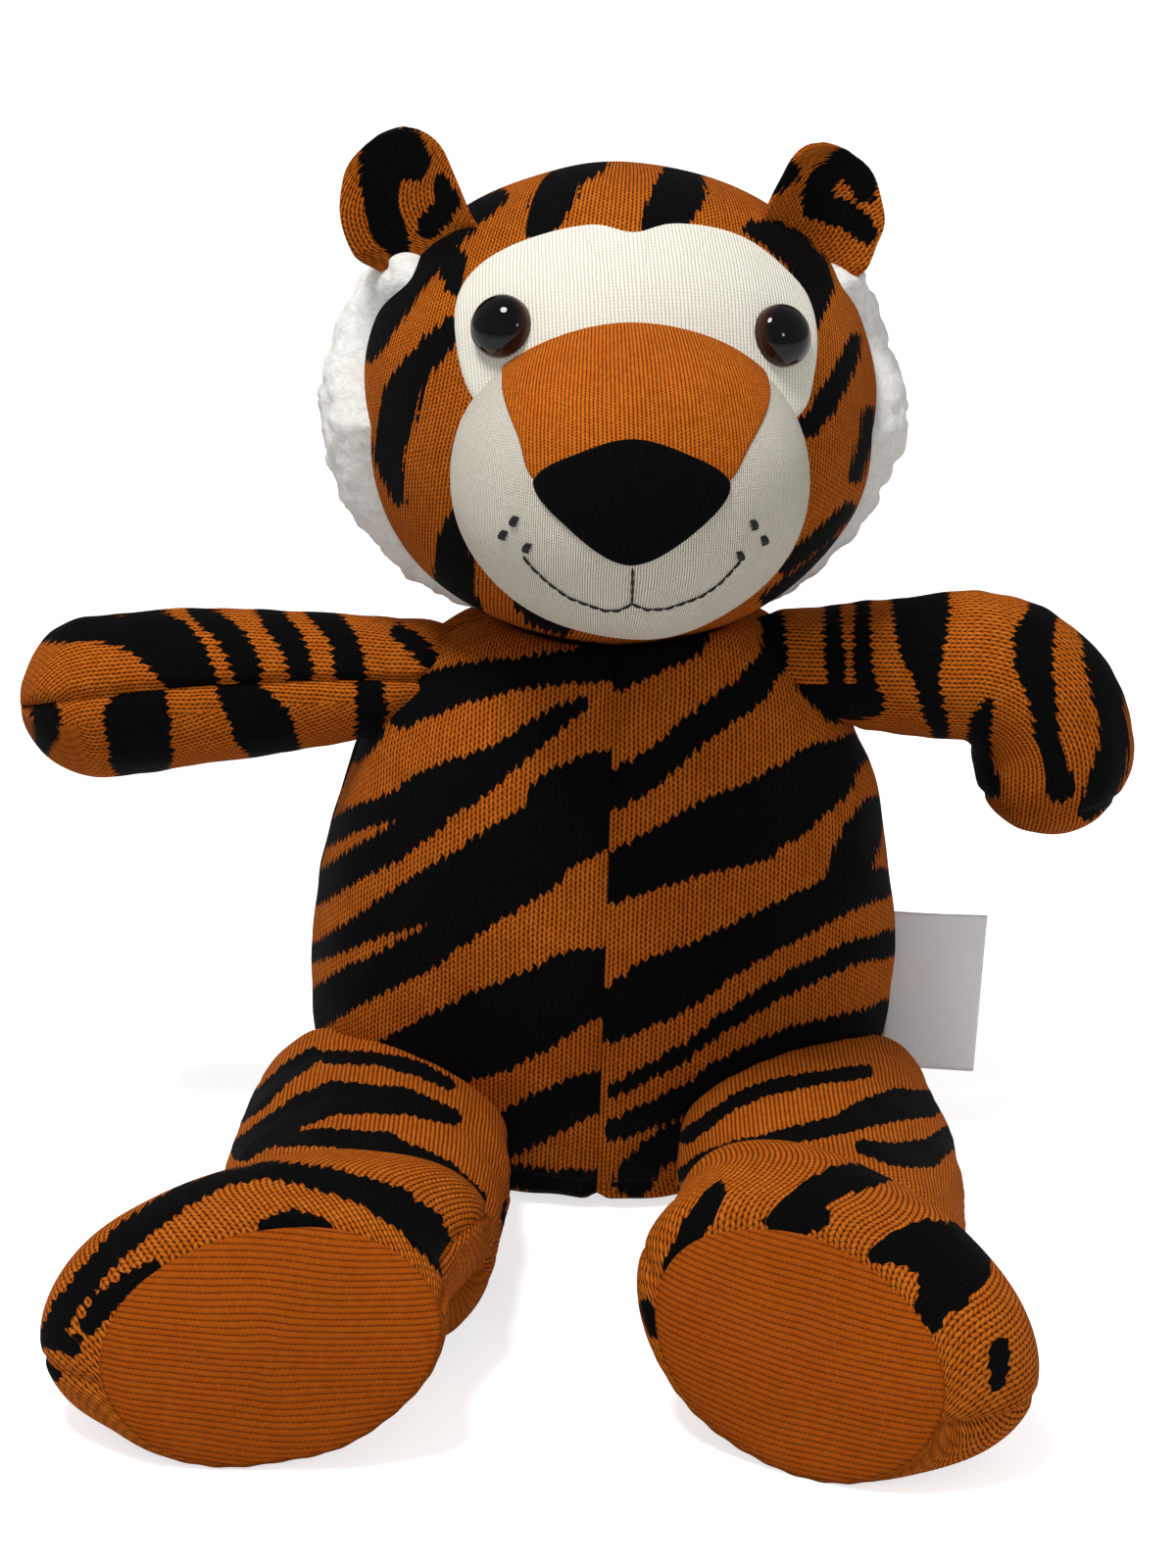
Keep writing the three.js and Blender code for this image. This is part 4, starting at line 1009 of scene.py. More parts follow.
def footForm(side):
    shift, turn = foot[side]["shift"], foot[side]["turn"]
    roll = math.radians(footRoll(side))
    middleHeight = math.hypot(foot["length"] / 2 * math.sin(roll), foot["height"] / 2 * math.cos(roll))
    ankle = np.array([leg[side], *leg["ankle"]])
    soleLong, soleHigh, soleAcross, soleUp = foot[side]["sole"]

    def form(along, around, growth=0.0):
        share, end = capped(along, foot["endShare"])
        deep, long, high, moved = smoothTable(footSections, share)
        near = np.clip((share - 0.7) / 0.3, 0, 1) ** 2  # only the sole's end is fitted
        long, high = long * (1 + (soleLong - 1) * near), high * (1 + (soleHigh - 1) * near)
        lengthwise = end * (long * foot["length"] / 2 + growth) * np.cos(around)
        upward = end * (high * foot["height"] / 2 + growth) * np.sin(around)
        crown = np.where(along > 0.5, 1 - end**2, 0)
        depth = deep * (foot["depth"] + 2 * growth) - growth + foot["crown"] * crown
        points = np.stack([lengthwise, -depth + foot["tilt"] * deep * upward, upward], 1)
        points = points @ turnAbout("Y", footRoll(side))
        rise = middleHeight - leg["height"][1] + near * soleUp
        points += np.stack([moved * shift + near * soleAcross, 0 * moved, rise], 1)
        return points @ turnAbout("Z", turn) + ankle

    return form


# halfHeight is above the middle and chinHeight below it; run is the cloth's way from pole to pole
head = {
    "centre": (4.5, 2, 233.5),
    "turn": 4,
    "roll": 1.8,
    "halfWidth": 72,
    "backSwell": 12,
    "halfDepth": 72,
    "halfHeight": 73,
    "chinHeight": 67,
    "sag": 8,
    "seamTop": 46,
    "seamChin": -12,
    "seam": 78 / 180,
    "run": 230,
    "pile": 8,
    "crownPile": 0.25,
    "grid": 1.6,
    "fill": 0.85,
}
headTurnBack = turnAbout("Y", head["roll"]) @ turnAbout("Z", head["turn"])


def onHead(points):
    # from the head's own place and turn to the whole toy's
    return points @ headTurnBack + np.array(head["centre"])


def headForm(along, around, growth=0.0):
    lean = np.radians(np.where(np.sin(around) > 0, head["seamTop"], head["seamChin"]))
    angle = along * halfTurn + lean * np.sin(around) * np.sin(along * halfTurn)
    behind = (1 - np.cos(angle)) / 2
    sag = head["sag"] * behind * (1 - np.sin(around)) / 2
    tall = np.where(np.sin(around) > 0, head["halfHeight"], head["chinHeight"])
    return np.stack(
        [
            (head["halfWidth"] + head["backSwell"] * behind + growth) * np.sin(angle) * np.cos(around),
            -(head["halfDepth"] + growth) * np.cos(angle),
            (tall + growth) * np.sin(angle) * np.sin(around) - sag * np.sin(along * halfTurn),
        ],
        1,
    )


muzzle = {"centre": (-0.8, -55, -5), "size": (51, 56, 45), "grid": 1.3, "fill": 0.9}


def muzzleForm(along, around, growth=0.0):
    angle = along * halfTurn
    wide, deep, high = muzzle["size"]
    points = np.stack(
        [
            (wide + growth) * np.sin(angle) * np.cos(around),
            -(deep + growth) * np.cos(angle),
            (high + growth) * np.sin(angle) * np.sin(around),
        ],
        1,
    )
    return points + np.array(muzzle["centre"])


ear = {
    "middle": -4,
    "apart": 51,
    "base": {-1: 41, 1: 39},
    "splay": 19,
    "turn": 14,
    "width": 40,
    "tall": 43,
    "thick": 6.3,
    "cup": 12,
    "rootFlare": 30,
    "rimRun": 6,
    "rimDepth": 0.9,
    "rimWidth": 1.2,
    "endShare": 0.08,
    "grid": 1.1,
    "columns": 90,
    "fill": 0.3,
}
# height, then how wide the side towards the crown and the outer side are
earWidths = [
    (0, 1.9, 0.6),
    (0.14, 1.3, 0.84),
    (0.3, 0.98, 0.96),
    (0.6, 0.88, 0.97),
    (0.82, 0.8, 0.8),
    (0.95, 0.57, 0.53),
    (1, 0.22, 0.22),
]


def earForm(side):
    def form(along, around, growth=0.0):
        share, end = capped(along, ear["endShare"])
        height, inner, outer = smoothTable(earWidths, share)
        width = np.where(side * np.cos(around) > 0, outer, inner)
        across = end * (width * ear["width"] / 2 + growth) * np.cos(around)
        cup = ear["cup"] - np.maximum(0, 0.3 - height) * ear["rootFlare"]
        thick = end * (ear["thick"] / 2 + growth) * np.sin(around) - cup * (2 * across / ear["width"]) ** 2
        points = np.stack([across, thick, height * (ear["tall"] + 2 * growth) - growth], 1)
        points = points @ turnAbout("Z", side * ear["turn"]) @ turnAbout("Y", side * ear["splay"])
        return points + np.array([ear["middle"] + side * ear["apart"], 0, ear["base"][side]])

    return form


# Covers: the torso
def columnCurve(form, around):
    return lambda along: form(along, np.full(len(along), around))


def rowCurve(form, along):
    return lambda around: form(np.full(len(around), along), around)


def closedCover(name, form, cloth, grid, material, stitches, column=0.0, row=0.4):
    # cloth all round a form, on a grid that is even along one column and round one row of the form
    alongs = evenSteps(columnCurve(form, column), 0, 1, grid)
    arounds = evenSteps(rowCurve(form, row), 0, fullTurn, grid)
    return closeUp(gridPiece(name, cloth, alongs, arounds, material, stitches))


def joined(name, pieces):
    with bpy.context.temp_override(active_object=pieces[0], selected_editable_objects=pieces):
        bpy.ops.object.join()
    pieces[0].name = pieces[0].data.name = name
    return closeUp(pieces[0])


def seamHeight(form, height, low, high):
    # the way along at which the form's front passes a height
    tries = np.linspace(low, high, 500)
    heights = form(tries, np.full(500, 1.5 * halfTurn))[:, 2]
    return float(np.interp(height, heights, tries))


def makeTorso():
    seam = seamHeight(torsoForm, torso["seatSeam"], torso["endShare"], 0.5)
    rising = evenSteps(columnCurve(torsoForm, 1.5 * halfTurn), seam, 1, torso["grid"])
    under = evenSteps(columnCurve(torsoForm, 1.5 * halfTurn), 0, seam, 2 * torso["grid"])
    front = evenSteps(rowCurve(torsoForm, 0.5), halfTurn, fullTurn, torso["grid"])
    back = evenSteps(rowCurve(torsoForm, 0.5), 0, halfTurn, torso["grid"])
    panels = [
        gridPiece("torso_front", torsoCloth, rising, front, rustKnit, alongTheCloth(0.5)),
        gridPiece("torso_back", torsoCloth, rising, back, rustKnit, alongTheCloth(0.5)),
        gridPiece("torso_seat", torsoCloth, under, np.append(back, front[1:]), rustKnit, fromThePole()),
    ]
    cover = joined("torso_cover", panels)
    points = coordinates(cover)
    turned = points * np.array([-1, -1, 1]) + np.array([2 * torso["middle"], 0, 0])
    right, left = stripeAndShadeStrokes["torsoRight"], stripeAndShadeStrokes["torsoLeft"]
    depths = [stripeDepth(place, strokes) for place in (points, turned) for strokes in (right, left)]

    def panel(middles):
        middle = torso["middle"] + torso["lean"] * middles[:, 2] / torso["height"]
        return np.where(middles[:, 1] < 0, middles[:, 0] > middle, 2 + (middles[:, 0] < middle))

    setStripes(cover, depths, panel)
    return cover


torsoCover = makeTorso()
print("torso cover,", len(torsoCover.data.polygons), "faces")


# Limbs
limbSeam = {"radius": 22, "width": 1.8, "gathers": 0.15, "gatherReach": 6, "gatherTurns": 190}


def makeLimb(name, form, growth, grid, reference):
    def cloth(along, around):
        return form(along, around, growth(along, around))

    return closedCover(name, form, cloth, grid, rustKnit, alongTheCloth(reference), halfTurn / 2, 0.5)


def stuffing(form, seams, seed, amount=0.45, depth=1.1):
    # how far a stuffed limb's cloth stands out; seams are angles round the limb where two panels meet
    def growth(along, around):
        plain = form(along, around)
        rise = lumps(plain, (amount, 30, seed), (0.4 * amount, 11, seed + 1))
        for seam in seams:
            away = angleFrom(around, seam) * limbSeam["radius"]
            gathers = limbSeam["gathers"] * depth * np.cos(along * limbSeam["gatherTurns"])
            gathers *= np.exp(-((away / limbSeam["gatherReach"]) ** 2))
            rise += crease(away, depth, limbSeam["width"]) + gathers
        return rise

    return growth


def tuckIn(piece, base, depth, width):
    # draws a cover in where it meets the cloth that it is sewn to
    tree = surfaceOf(base)
    points, normals = coordinates(piece), readAll(piece.data.vertex_normals, "vector", 3)
    away = np.full(len(points), np.inf)
    for i, point in enumerate(points):
        found = tree.find_nearest(Vector(point) * mm, 3 * width * mm)
        if found[0] is not None:
            away[i] = found[3] / mm
    setCoordinates(piece, points + normals * crease(away, depth, width)[:, None])


def makeArms():
    seam = rightArm["seam"]
    plumpRight = stuffing(rightArmForm, [seam, halfTurn - seam], 21, depth=3)
    right = makeLimb("arm_right_cover", rightArmForm, plumpRight, armSizes["grid"], 0.25)
    strokes = (stripeAndShadeStrokes["armRightUpper"], stripeAndShadeStrokes["armRightLower"])
    depths = [stripeDepth(coordinates(right), part) for part in strokes]
    setStripes(right, depths, lambda middles: (middles[:, 3] < math.sin(seam)).astype(int))
    plumpLeft = stuffing(leftArmForm, [0], 31)

    def withPawSeam(along, around):
        ring = leftArmForm(along, around)[:, 2] - leftArm["pawSeam"]
        return plumpLeft(along, around) + np.where(along > 0.7, crease(ring, 1.3, 1.5), 0)

    left = makeLimb("arm_left_cover", leftArmForm, withPawSeam, armSizes["grid"], 0.5)
    stripeAll(left, stripeAndShadeStrokes["armLeftUpper"] + stripeAndShadeStrokes["armLeftLower"], 0.9)
    for cover in (right, left):
        tuckIn(cover, torsoCover, 0.8, 2.0)
    return [right, left]


def makeLegs():
    covers = []
    for side in ("right", "left"):
        form = legForm(side)
        plump = stuffing(form, [0, halfTurn], 41 if side == "right" else 51)
        cover = makeLimb(f"leg_{side}_cover", form, plump, leg["grid"], 0.25)
        points = restOnFloor(cover)
        share = (points[:, 1] - leg["hip"][0]) / (leg["ankle"][0] - leg["hip"][0])
        middle = leg["hip"][1] + share * (leg["ankle"][1] - leg["hip"][1])
        mirrored = np.stack([points[:, 0], points[:, 1], middle + np.abs(points[:, 2] - middle)], 1)
        below = mirrored * np.array([-1, 1, 1]) + np.array([2 * leg[side], leg["lowerShift"], 0])
        # seen at a slant, so its stripes' ragged edges are finer on the screen
        strokes = stripeAndShadeStrokes[f"leg{side.title()}"]
        depths = [leg["slant"] * stripeDepth(place, strokes) for place in (mirrored, below)]
        setStripes(cover, depths, lambda middles: (middles[:, 3] < 0).astype(int))
        tuckIn(cover, torsoCover, 0.8, 2.0)
        covers.append(cover)
    return covers


# run and sideRun turn ways along and round a foot into millimetres
footSeam = {
    "run": 95,
    "depth": 0.7,
    "width": 1.0,
    "gathers": 0.12,
    "gatherReach": 5,
    "gatherTurns": 34,
    "sideRun": 40,
    "sideDepth": 1.2,
    "sideWidth": 1.8,
}


def makeFeet():
    # a cover and a sole for each foot; where they meet, each runs on a little inside the other
    covers, soles = [], []
    seam, overlap = 1 - foot["endShare"], foot["overlap"]
    for side, seed in (("right", 61), ("left", 71)):
        form = footForm(side)

        def growth(along, around):
            away = (along - seam) * footSeam["run"]
            plump = lumps(form(along, around), (0.4, 34, seed))
            plump += crease(away, footSeam["depth"], footSeam["width"])
            gathers = footSeam["gathers"] * np.cos(around * footSeam["gatherTurns"])
            gathers *= np.exp(-((away / footSeam["gatherReach"]) ** 2))
            sides = np.abs(np.sin(around)) * footSeam["sideRun"]
            gathers += crease(sides, footSeam["sideDepth"], footSeam["sideWidth"])
            return plump + np.where(along < seam, gathers, 0)

        def coverCloth(along, around):
            inside = foot["tuck"] * (along > seam + overlap / 2)
            return form(along, around, growth(along, around) - inside)

        def soleCloth(along, around):
            inside = foot["tuck"] * (along < seam - overlap / 2)
            return form(along, around, growth(along, around) - inside)

        arounds = evenSteps(rowCurve(form, 0.6), 0, fullTurn, foot["grid"])
        coverRows = evenSteps(columnCurve(form, halfTurn / 2), 0, seam, foot["grid"])
        coverRows = np.append(coverRows, seam + overlap)
        soleRows = evenSteps(columnCurve(form, 0), seam, 1, foot["grid"])
        soleRows = np.append(soleRows[::-1], seam - overlap)
        stitches = alongTheCloth(0.25, foot["stretch"])
        lying = fromThePole(math.radians(90 - footRoll(side) + foot["level"]))
        cover = gridPiece(f"foot_{side}_cover", coverCloth, coverRows, arounds, rustKnit, stitches)
        sole = gridPiece(f"foot_{side}_sole_cover", soleCloth, soleRows, arounds, soleKnit, lying)
        for piece in (cover, sole):
            closeUp(piece, (leg[side], *leg["ankle"]))
            restOnFloor(piece)
        top = below = foot["slant"] * stripeDepth(coordinates(cover), stripeAndShadeStrokes[f"foot{side.title()}Top"])
        if side == "right":
            below = foot["slant"] * stripeDepth(coordinates(cover), stripeAndShadeStrokes["footRightBottom"])
        setStripes(cover, [top, below], lambda middles: (middles[:, 3] < 0).astype(int))
        covers.append(cover)
        soles.append(sole)
    return covers, soles


def makeTail():
    plump = stuffing(tailForm, [halfTurn / 2, 1.5 * halfTurn], 81, 0.25)
    cover = makeLimb("tail_cover", tailForm, plump, tail["grid"], 0.25)
    points = restOnFloor(cover)
    turn = np.arctan2(points[:, 2] - 11, points[:, 0] - 2)  # about a line inside the tail
    run = points[:, 1] + tail["stripeSway"] * np.sin(turn * 2)
    away = np.abs((run - tail["root"][1]) % tail["stripeStep"] - tail["stripeStep"] / 2)
    setValue(cover, "stripe", (tail["stripe"] / 2 - away) * mm)
    return cover


armCovers = makeArms()
print("arm covers made")
legCovers = makeLegs()
footCovers, soleCovers = makeFeet()
for legCover, footCover in zip(legCovers, footCovers):
    tuckIn(legCover, footCover, 1.6, 2.5)
print("leg and foot covers made")
tailCover = makeTail()


# Head: under the pile the face's cloth lies deeper
headSeam = {"depth": 1.8, "width": 3.0, "under": 4, "underReach": 8}


def makeFace():
    def cloth(along, around):
        plain = headForm(along, around)
        behind = (along - head["seam"]) * head["run"]
        growth = lumps(plain, (0.5, 44, 91)) + crease(behind, headSeam["depth"], headSeam["width"])
        growth -= headSeam["under"] * np.clip(behind / headSeam["underReach"], 0, 1)
        return onHead(headForm(along, around, growth))

    cover = closedCover("face_cover", headForm, cloth, head["grid"], rustKnit, fromThePole())
    stripeAll(cover, stripeAndShadeStrokes["face"])
    return cover


def makeMuzzle():
    def cloth(along, around):
        plain = muzzleForm(along, around)
        return onHead(muzzleForm(along, around, lumps(plain, (0.3, 40, 95))))

    name, stitches = "muzzle_stuffed_cover", fromThePole()
    return closedCover(name, muzzleForm, cloth, muzzle["grid"], muzzleKnit, stitches)


# outlines of the patches in the head's own front view, millimetres from its middle
patches = {
    "forehead": {
        "centre": (0, 38),
        "outline": [
            *[(-44.9, 14.5), (-50.5, 32), (-47.7, 44.3), (-35.4, 55.3), (-13.5, 63), (-0.9, 62)],
            *[(11.5, 63.6), (31.6, 58.8), (44.5, 49.4), (51.1, 40.2), (51.6, 23.1), (46.8, 12.4)],
            *[(25, 6), (-20, 6)],
        ],
        "raise": 0.9,
    },
    "bridge": {
        "centre": (-3, 20),
        "outline": [
            *[(-31.8, 5.2), (-35.7, 15), (-38.8, 24), (-42, 34), (-25, 46), (0, 51), (25, 46)],
            *[(40, 34), (36.8, 24), (29.6, 15), (23.1, 6.7), (14, 3), (-4, 1), (-20, 3)],
        ],
        "raise": 0.7,
    },
    "nose": {
        "centre": (-4, 4),
        "outline": [
            *[(-31.8, 5.2), (-19.2, 14.9), (-4.8, 19.4), (9.8, 15.9)],
            *[(23.1, 6.7), (15.5, -4.6), (-4.2, -15.9), (-22.9, -5.9)],
        ],
        "raise": 1.3,
    },
}


def smoothRing(points, count):
    # a closed smooth curve through the points, read at even steps
    ring = np.array(points, float)
    closed = np.vstack([ring[-1:], ring, ring[:3]])
    t = np.linspace(1, 1 + len(ring), 2000)
    first = np.minimum(t.astype(int), len(ring))
    curve = smoothStep(*(closed[first + k] for k in (-1, 0, 1, 2)), (t - first)[:, None])
    run = runAlong(curve)
    wanted = np.linspace(0, run[-1], count + 1)
    return np.stack([np.interp(wanted, run, curve[:, i]) for i in range(3)], 1)


def makePatch(name, setup, base, middle, size, material, grid):
    # a patch sewn on a stuffed base, cut to an outline of the head's front view
    tree = surfaceOf(base)
    middle, size = np.array(middle, float), np.array(size, float)

    def onBall(x, z):
        # past the outer edge of the front view a point runs on over the ball
        flat = np.array([x - middle[0], z - middle[2]]) / size[[0, 2]]
        away = np.hypot(*flat)
        tilt = math.asin(away) if away < 1 else halfTurn / 2 + away - 1
        out, up = flat / away * math.sin(tilt)
        return np.array([out, -math.cos(tilt), up])

    core = onBall(*setup["centre"])
    outline = np.array([onBall(*point) for point in setup["outline"]])
    long = max(np.arccos(np.clip(outline @ core, -1, 1))) * size.mean()
    ring = smoothRing(outline, int(long * 5 / grid))
    ring /= np.linalg.norm(ring, axis=1)[:, None]
    rows = np.linspace(0, 1, int(long / grid) + 2)
    origin = onHead(middle[None])[0]

    def cloth(along, column):
        end = ring[np.rint(column).astype(int)]
        reach = np.arccos(np.clip(end @ core, -1, 1))
        sines = np.maximum(np.sin(reach), 1e-6)
        near, far = np.sin((1 - along) * reach) / sines, np.sin(along * reach) / sines
        ways = ((core * near[:, None] + end * far[:, None]) * size) @ headTurnBack
        edge = (1 - along) * reach * size.mean()
        lift = setup["raise"] * (1 - 1.7 * np.exp(-((edge / 1.3) ** 2)))
        places = np.zeros((len(along), 3))
        for i, ray in enumerate(ways):
            hit, normal, _, _ = tree.ray_cast(Vector(origin) * mm, Vector(ray))
            places[i] = np.array(hit) / mm + np.array(normal) * lift[i]
        return places

    def stitches(table):
        run = runAlong(table)
        out = (core / size) @ headTurnBack
        out /= np.linalg.norm(out)
        up = np.array([0, 0, 1.0]) - out[2] * out
        up /= np.linalg.norm(up)
        away = table[2] - table[0]
        angles = np.arctan2(away @ up, away @ np.cross(up, out))
        return run * np.cos(angles), run * np.sin(angles)

    piece = gridPiece(name, cloth, rows, np.arange(len(ring)), material, stitches)
    return closeUp(piece, origin)


# the pile's curls are drawn out by curlBend, and are thinner over the crown, under the chin and at the edge
sherpa = {
    "grid": 1.0,
    "edgeRows": 12,
    "edgeBack": 0.012,
    "edgeReach": 4,
    "under": 2.5,
    "sunk": 0.6,
    "curl": 1.9,
    "curlSize": 6,
    "curlBend": 3.4,
    "fineCurl": 0.3,
    "fineCurlSize": 2.4,
    "forward": 17,
    "earAngle": 54,
    "earSpread": 0.18,
    "rightSwell": 2.5,
    "chinThin": 5.5,
    "crownThin": 0.8,
    "crownSpread": 0.75,
    "bottom": 173,
    "seed": 5,
}


def makeSherpa():
    noise.seed_set(sherpa["seed"])  # the curls lie the same on each run

    def edgeShare(around):
        # the pile's edge comes forward round the roots of the ears
        away = angleFrom(around, halfTurn / 2) - math.radians(sherpa["earAngle"])
        towardsEar = np.exp(-((away / sherpa["earSpread"]) ** 2))
        return head["seam"] - sherpa["edgeBack"] - sherpa["forward"] / 180 * towardsEar

    def cloth(along, around):
        edge = edgeShare(around)
        along = np.where(along < 0, (1 + along) * edge, edge + along * (1 - edge))
        towardsCrown = (np.maximum(0, np.sin(around)) * np.sin(along * halfTurn)) ** 2
        pile = head["pile"] * (1 - (1 - head["crownPile"]) * towardsCrown)
        fromBack = np.sin(along * halfTurn)
        pile += sherpa["rightSwell"] * np.maximum(0, -np.cos(around)) ** 2 * fromBack
        pile -= sherpa["chinThin"] * np.maximum(0, -np.sin(around)) ** 1.5 * fromBack
        overTop = np.exp(-((angleFrom(around, halfTurn / 2) / sherpa["crownSpread"]) ** 4))
        pile *= 1 - sherpa["crownThin"] * overTop * fromBack**2
        rise = 1 - np.exp(-np.maximum(along - edge, 0) * head["run"] / sherpa["edgeReach"])
        plain = headForm(along, around)
        curls = np.zeros(len(plain))
        for i in np.nonzero(rise > 0.02)[0]:
            place = Vector(plain[i])
            place += noise.noise_vector(place / sherpa["curlSize"]) * sherpa["curlBend"]
            curls[i] = noise.noise(place / sherpa["curlSize"])
            curls[i] += sherpa["fineCurl"] * noise.noise(place / sherpa["fineCurlSize"])
        soft = lumps(plain, (0.8, 24, 97), (0.3, 9, 98))
        curls *= sherpa["curl"] * np.clip(pile / 6, 0.35, 1)
        growth = (pile - sherpa["sunk"] + soft + curls) * rise - sherpa["under"] * (1 - rise)
        points = onHead(headForm(along, around, growth))
        points[:, 2] = np.maximum(points[:, 2], sherpa["bottom"])
        return points

    alongs = evenSteps(columnCurve(headForm, 0), head["seam"], 1, sherpa["grid"])
    alongs = (alongs - head["seam"]) / (1 - head["seam"])
    arounds = evenSteps(rowCurve(headForm, 0.5), 0, fullTurn, sherpa["grid"])
    alongs = np.concatenate([np.linspace(-1, -0.02, sherpa["edgeRows"]), alongs])
    return closeUp(gridPiece("sherpa_back_cover", cloth, alongs, arounds, sherpaPile, fromThePole()))


def makeEars():
    covers = []
    for side, name in ((-1, "right"), (1, "left")):
        form = earForm(side)

        def cloth(along, around):
            plain = form(along, around)
            rim = crease(np.abs(np.sin(around)) * ear["rimRun"], ear["rimDepth"], ear["rimWidth"])
            return onHead(form(along, around, lumps(plain, (0.3, 16, 101 + side)) + rim))

        alongs = evenSteps(columnCurve(form, halfTurn / 2), 0, 1, ear["grid"])
        arounds = np.linspace(0, fullTurn, ear["columns"] + 1)
        cover = gridPiece(f"ear_{name}_cover", cloth, alongs, arounds, rustKnit, alongTheCloth(0.25))
        stripeAll(closeUp(cover), stripeAndShadeStrokes[f"ear{name.title()}"])
        covers.append(cover)
    return covers


faceCover = makeFace()
muzzleCover = makeMuzzle()
headBall = ((0, 0, 0), (head["halfWidth"], head["halfDepth"], head["halfHeight"]))
foreheadPatch = makePatch("forehead_cover", patches["forehead"], faceCover, *headBall, creamKnit, 1.3)
muzzleBall = (muzzle["centre"], muzzle["size"])
bridgePatch = makePatch("nose_bridge_cover", patches["bridge"], muzzleCover, *muzzleBall, fineRust, 1.1)
nosePatch = makePatch("nose_cover", patches["nose"], muzzleCover, *muzzleBall, noseKnit, 1.0)
sherpaCover = makeSherpa()
earCovers = makeEars()
print("head covers made")

eye = {
    "spots": {"right": (-37.5, 36.5), "left": (40.4, 34.7)},
    "radius": 9,
    "rise": 7.5,
    "rim": 1.2,
    "lift": 0.6,
}
ahead = -200.0  # well in front of the head


def straightOnto(tree, x, z):
    # the place, and which way is out, where a point of the head's front view meets the cloth
    start = onHead(np.array([[x, ahead, z]]))[0]
    hit, normal, _, _ = tree.ray_cast(Vector(start) * mm, Vector(np.array([0, 1.0, 0]) @ headTurnBack))
    return np.array(hit) / mm, np.array(normal)


def makeEye(side):
    # a domed safety eye: a rim with a quick round edge, then a low dome
    place, normal = straightOnto(surfaceOf(faceCover), *eye["spots"][side])
    bm = bmesh.new()
    bmesh.ops.create_uvsphere(bm, u_segments=72, v_segments=40, radius=1)
    piece = newPiece(f"eye_{side}_dome", bm, eyePlastic)
    points = coordinates(piece) * mm
    outward = np.hypot(points[:, 0], points[:, 1])
    dome = eye["rim"] + (eye["rise"] - eye["rim"]) * points[:, 2]
    domed = np.where(points[:, 2] > 0, dome, 2 * points[:, 2])
    points[:, 2] = domed
    points[:, :2] *= eye["radius"]
    setValue(piece, "rim", np.where(domed < eye["rim"] + 0.1, 1, outward**5))
    facing = Vector(normal).to_track_quat("Z", "Y").to_matrix()
    setCoordinates(piece, points @ np.array(facing).T + (place + normal * eye["lift"]))
    return piece


eyes = [makeEye(side) for side in ("right", "left")]

# the mouth's lines and knots in the head's own front view, millimetres from its middle
mouth = {
    "width": 0.75,
    "stitch": 3.2,
    "knot": 3.1,
    "knotSlant": 0.3,
    "knotThreads": (-0.6, -0.2, 0.2, 0.6),
    "lines": [
        [(-4, -16), (-3.3, -27.8)],
        [(-3.3, -27.8), (-6.5, -30.5), (-10.1, -31), (-20.4, -27.5), (-26, -23.5), (-30.5, -19.5)]
        + [(-33, -16.6)],
        [(-3.3, -27.8), (1, -30), (6.2, -30), (15.7, -26.2), (20.5, -22.5), (24, -18.4), (26.3, -15.6)],
    ],
    "knots": [(-35.6, -7), (-38.3, -12), (-32.1, -13.9), (29.5, -6), (33.1, -11.6), (26, -14.4)],
}


def threadTube(name, paths, radius):
    # each path becomes a closed tube with tapered ends
    bm = bmesh.new()
    for path in paths:
        path = np.array(path)
        rings = []
        for i, point in enumerate(path):
            way = path[min(i + 1, len(path) - 1)] - path[max(i - 1, 0)]
            turn = Vector(way).to_track_quat("Z", "Y").to_matrix().to_4x4()
            share = i / (len(path) - 1)
            size = radius * (0.45 + 0.55 * math.sin(share * halfTurn) ** 0.4)
            atEnd = i in (0, len(path) - 1)
            made = bmesh.ops.create_circle(bm, segments=8, radius=size * mm, cap_ends=atEnd)
            matrix = Matrix.Translation(Vector(point) * mm) @ turn
            bmesh.ops.transform(bm, matrix=matrix, verts=made["verts"])
            rings.append(made["verts"])
        for a, b in zip(rings[:-1], rings[1:]):
            edges = dict.fromkeys(edge for vert in a + b for edge in vert.link_edges)
            rims = [edge for edge in edges if set(edge.verts) <= set(a) or set(edge.verts) <= set(b)]
            bmesh.ops.bridge_loops(bm, edges=rims)
    bmesh.ops.recalc_face_normals(bm, faces=bm.faces)
    return newPiece(name, bm, blackThread)


def makeMouth():
    tree = surfaceOf(muzzleCover)

    def threadAt(x, z, lift):
        place, normal = straightOnto(tree, x, z)
        return place + normal * lift

    paths = []
    for line in mouth["lines"]:
        bends = np.array(line, float)
        run = runAlong(bends)
        count = max(2, round(run[-1] / mouth["stitch"]))
        for i in range(count):
            path = []
            for share in np.linspace(0.02, 0.98, 7):
                at = (i + share) * run[-1] / count
                x, z = np.interp(at, run, bends[:, 0]), np.interp(at, run, bends[:, 1])
                path.append(threadAt(x, z, 0.15 + 0.3 * math.sin(share * halfTurn)))
            paths.append(path)
    for x, z in mouth["knots"]:
        slant = math.copysign(mouth["knotSlant"], -x)
        for shift in mouth["knotThreads"]:
            path = []
            for share in np.linspace(0, 1, 6):
                rise = (share - 0.5) * mouth["knot"]
                lift = 0.1 + 0.7 * math.sin(share * halfTurn)
                path.append(threadAt(x + shift + slant * rise, z + rise, lift))
            paths.append(path)
    return threadTube("mouth_stitches", paths, mouth["width"] / 2)


mouthStitches = makeMouth()
print("eyes and mouth made")

# Side label: a bare folded ribbon caught in the left side seam
label = {
    "root": 90.9,
    "reach": 27,
    "inside": 2.5,
    "bottom": 22,
    "height": 52,
    "ply": 0.4,
    "gap": 0.8,
    "droop": 3,
}


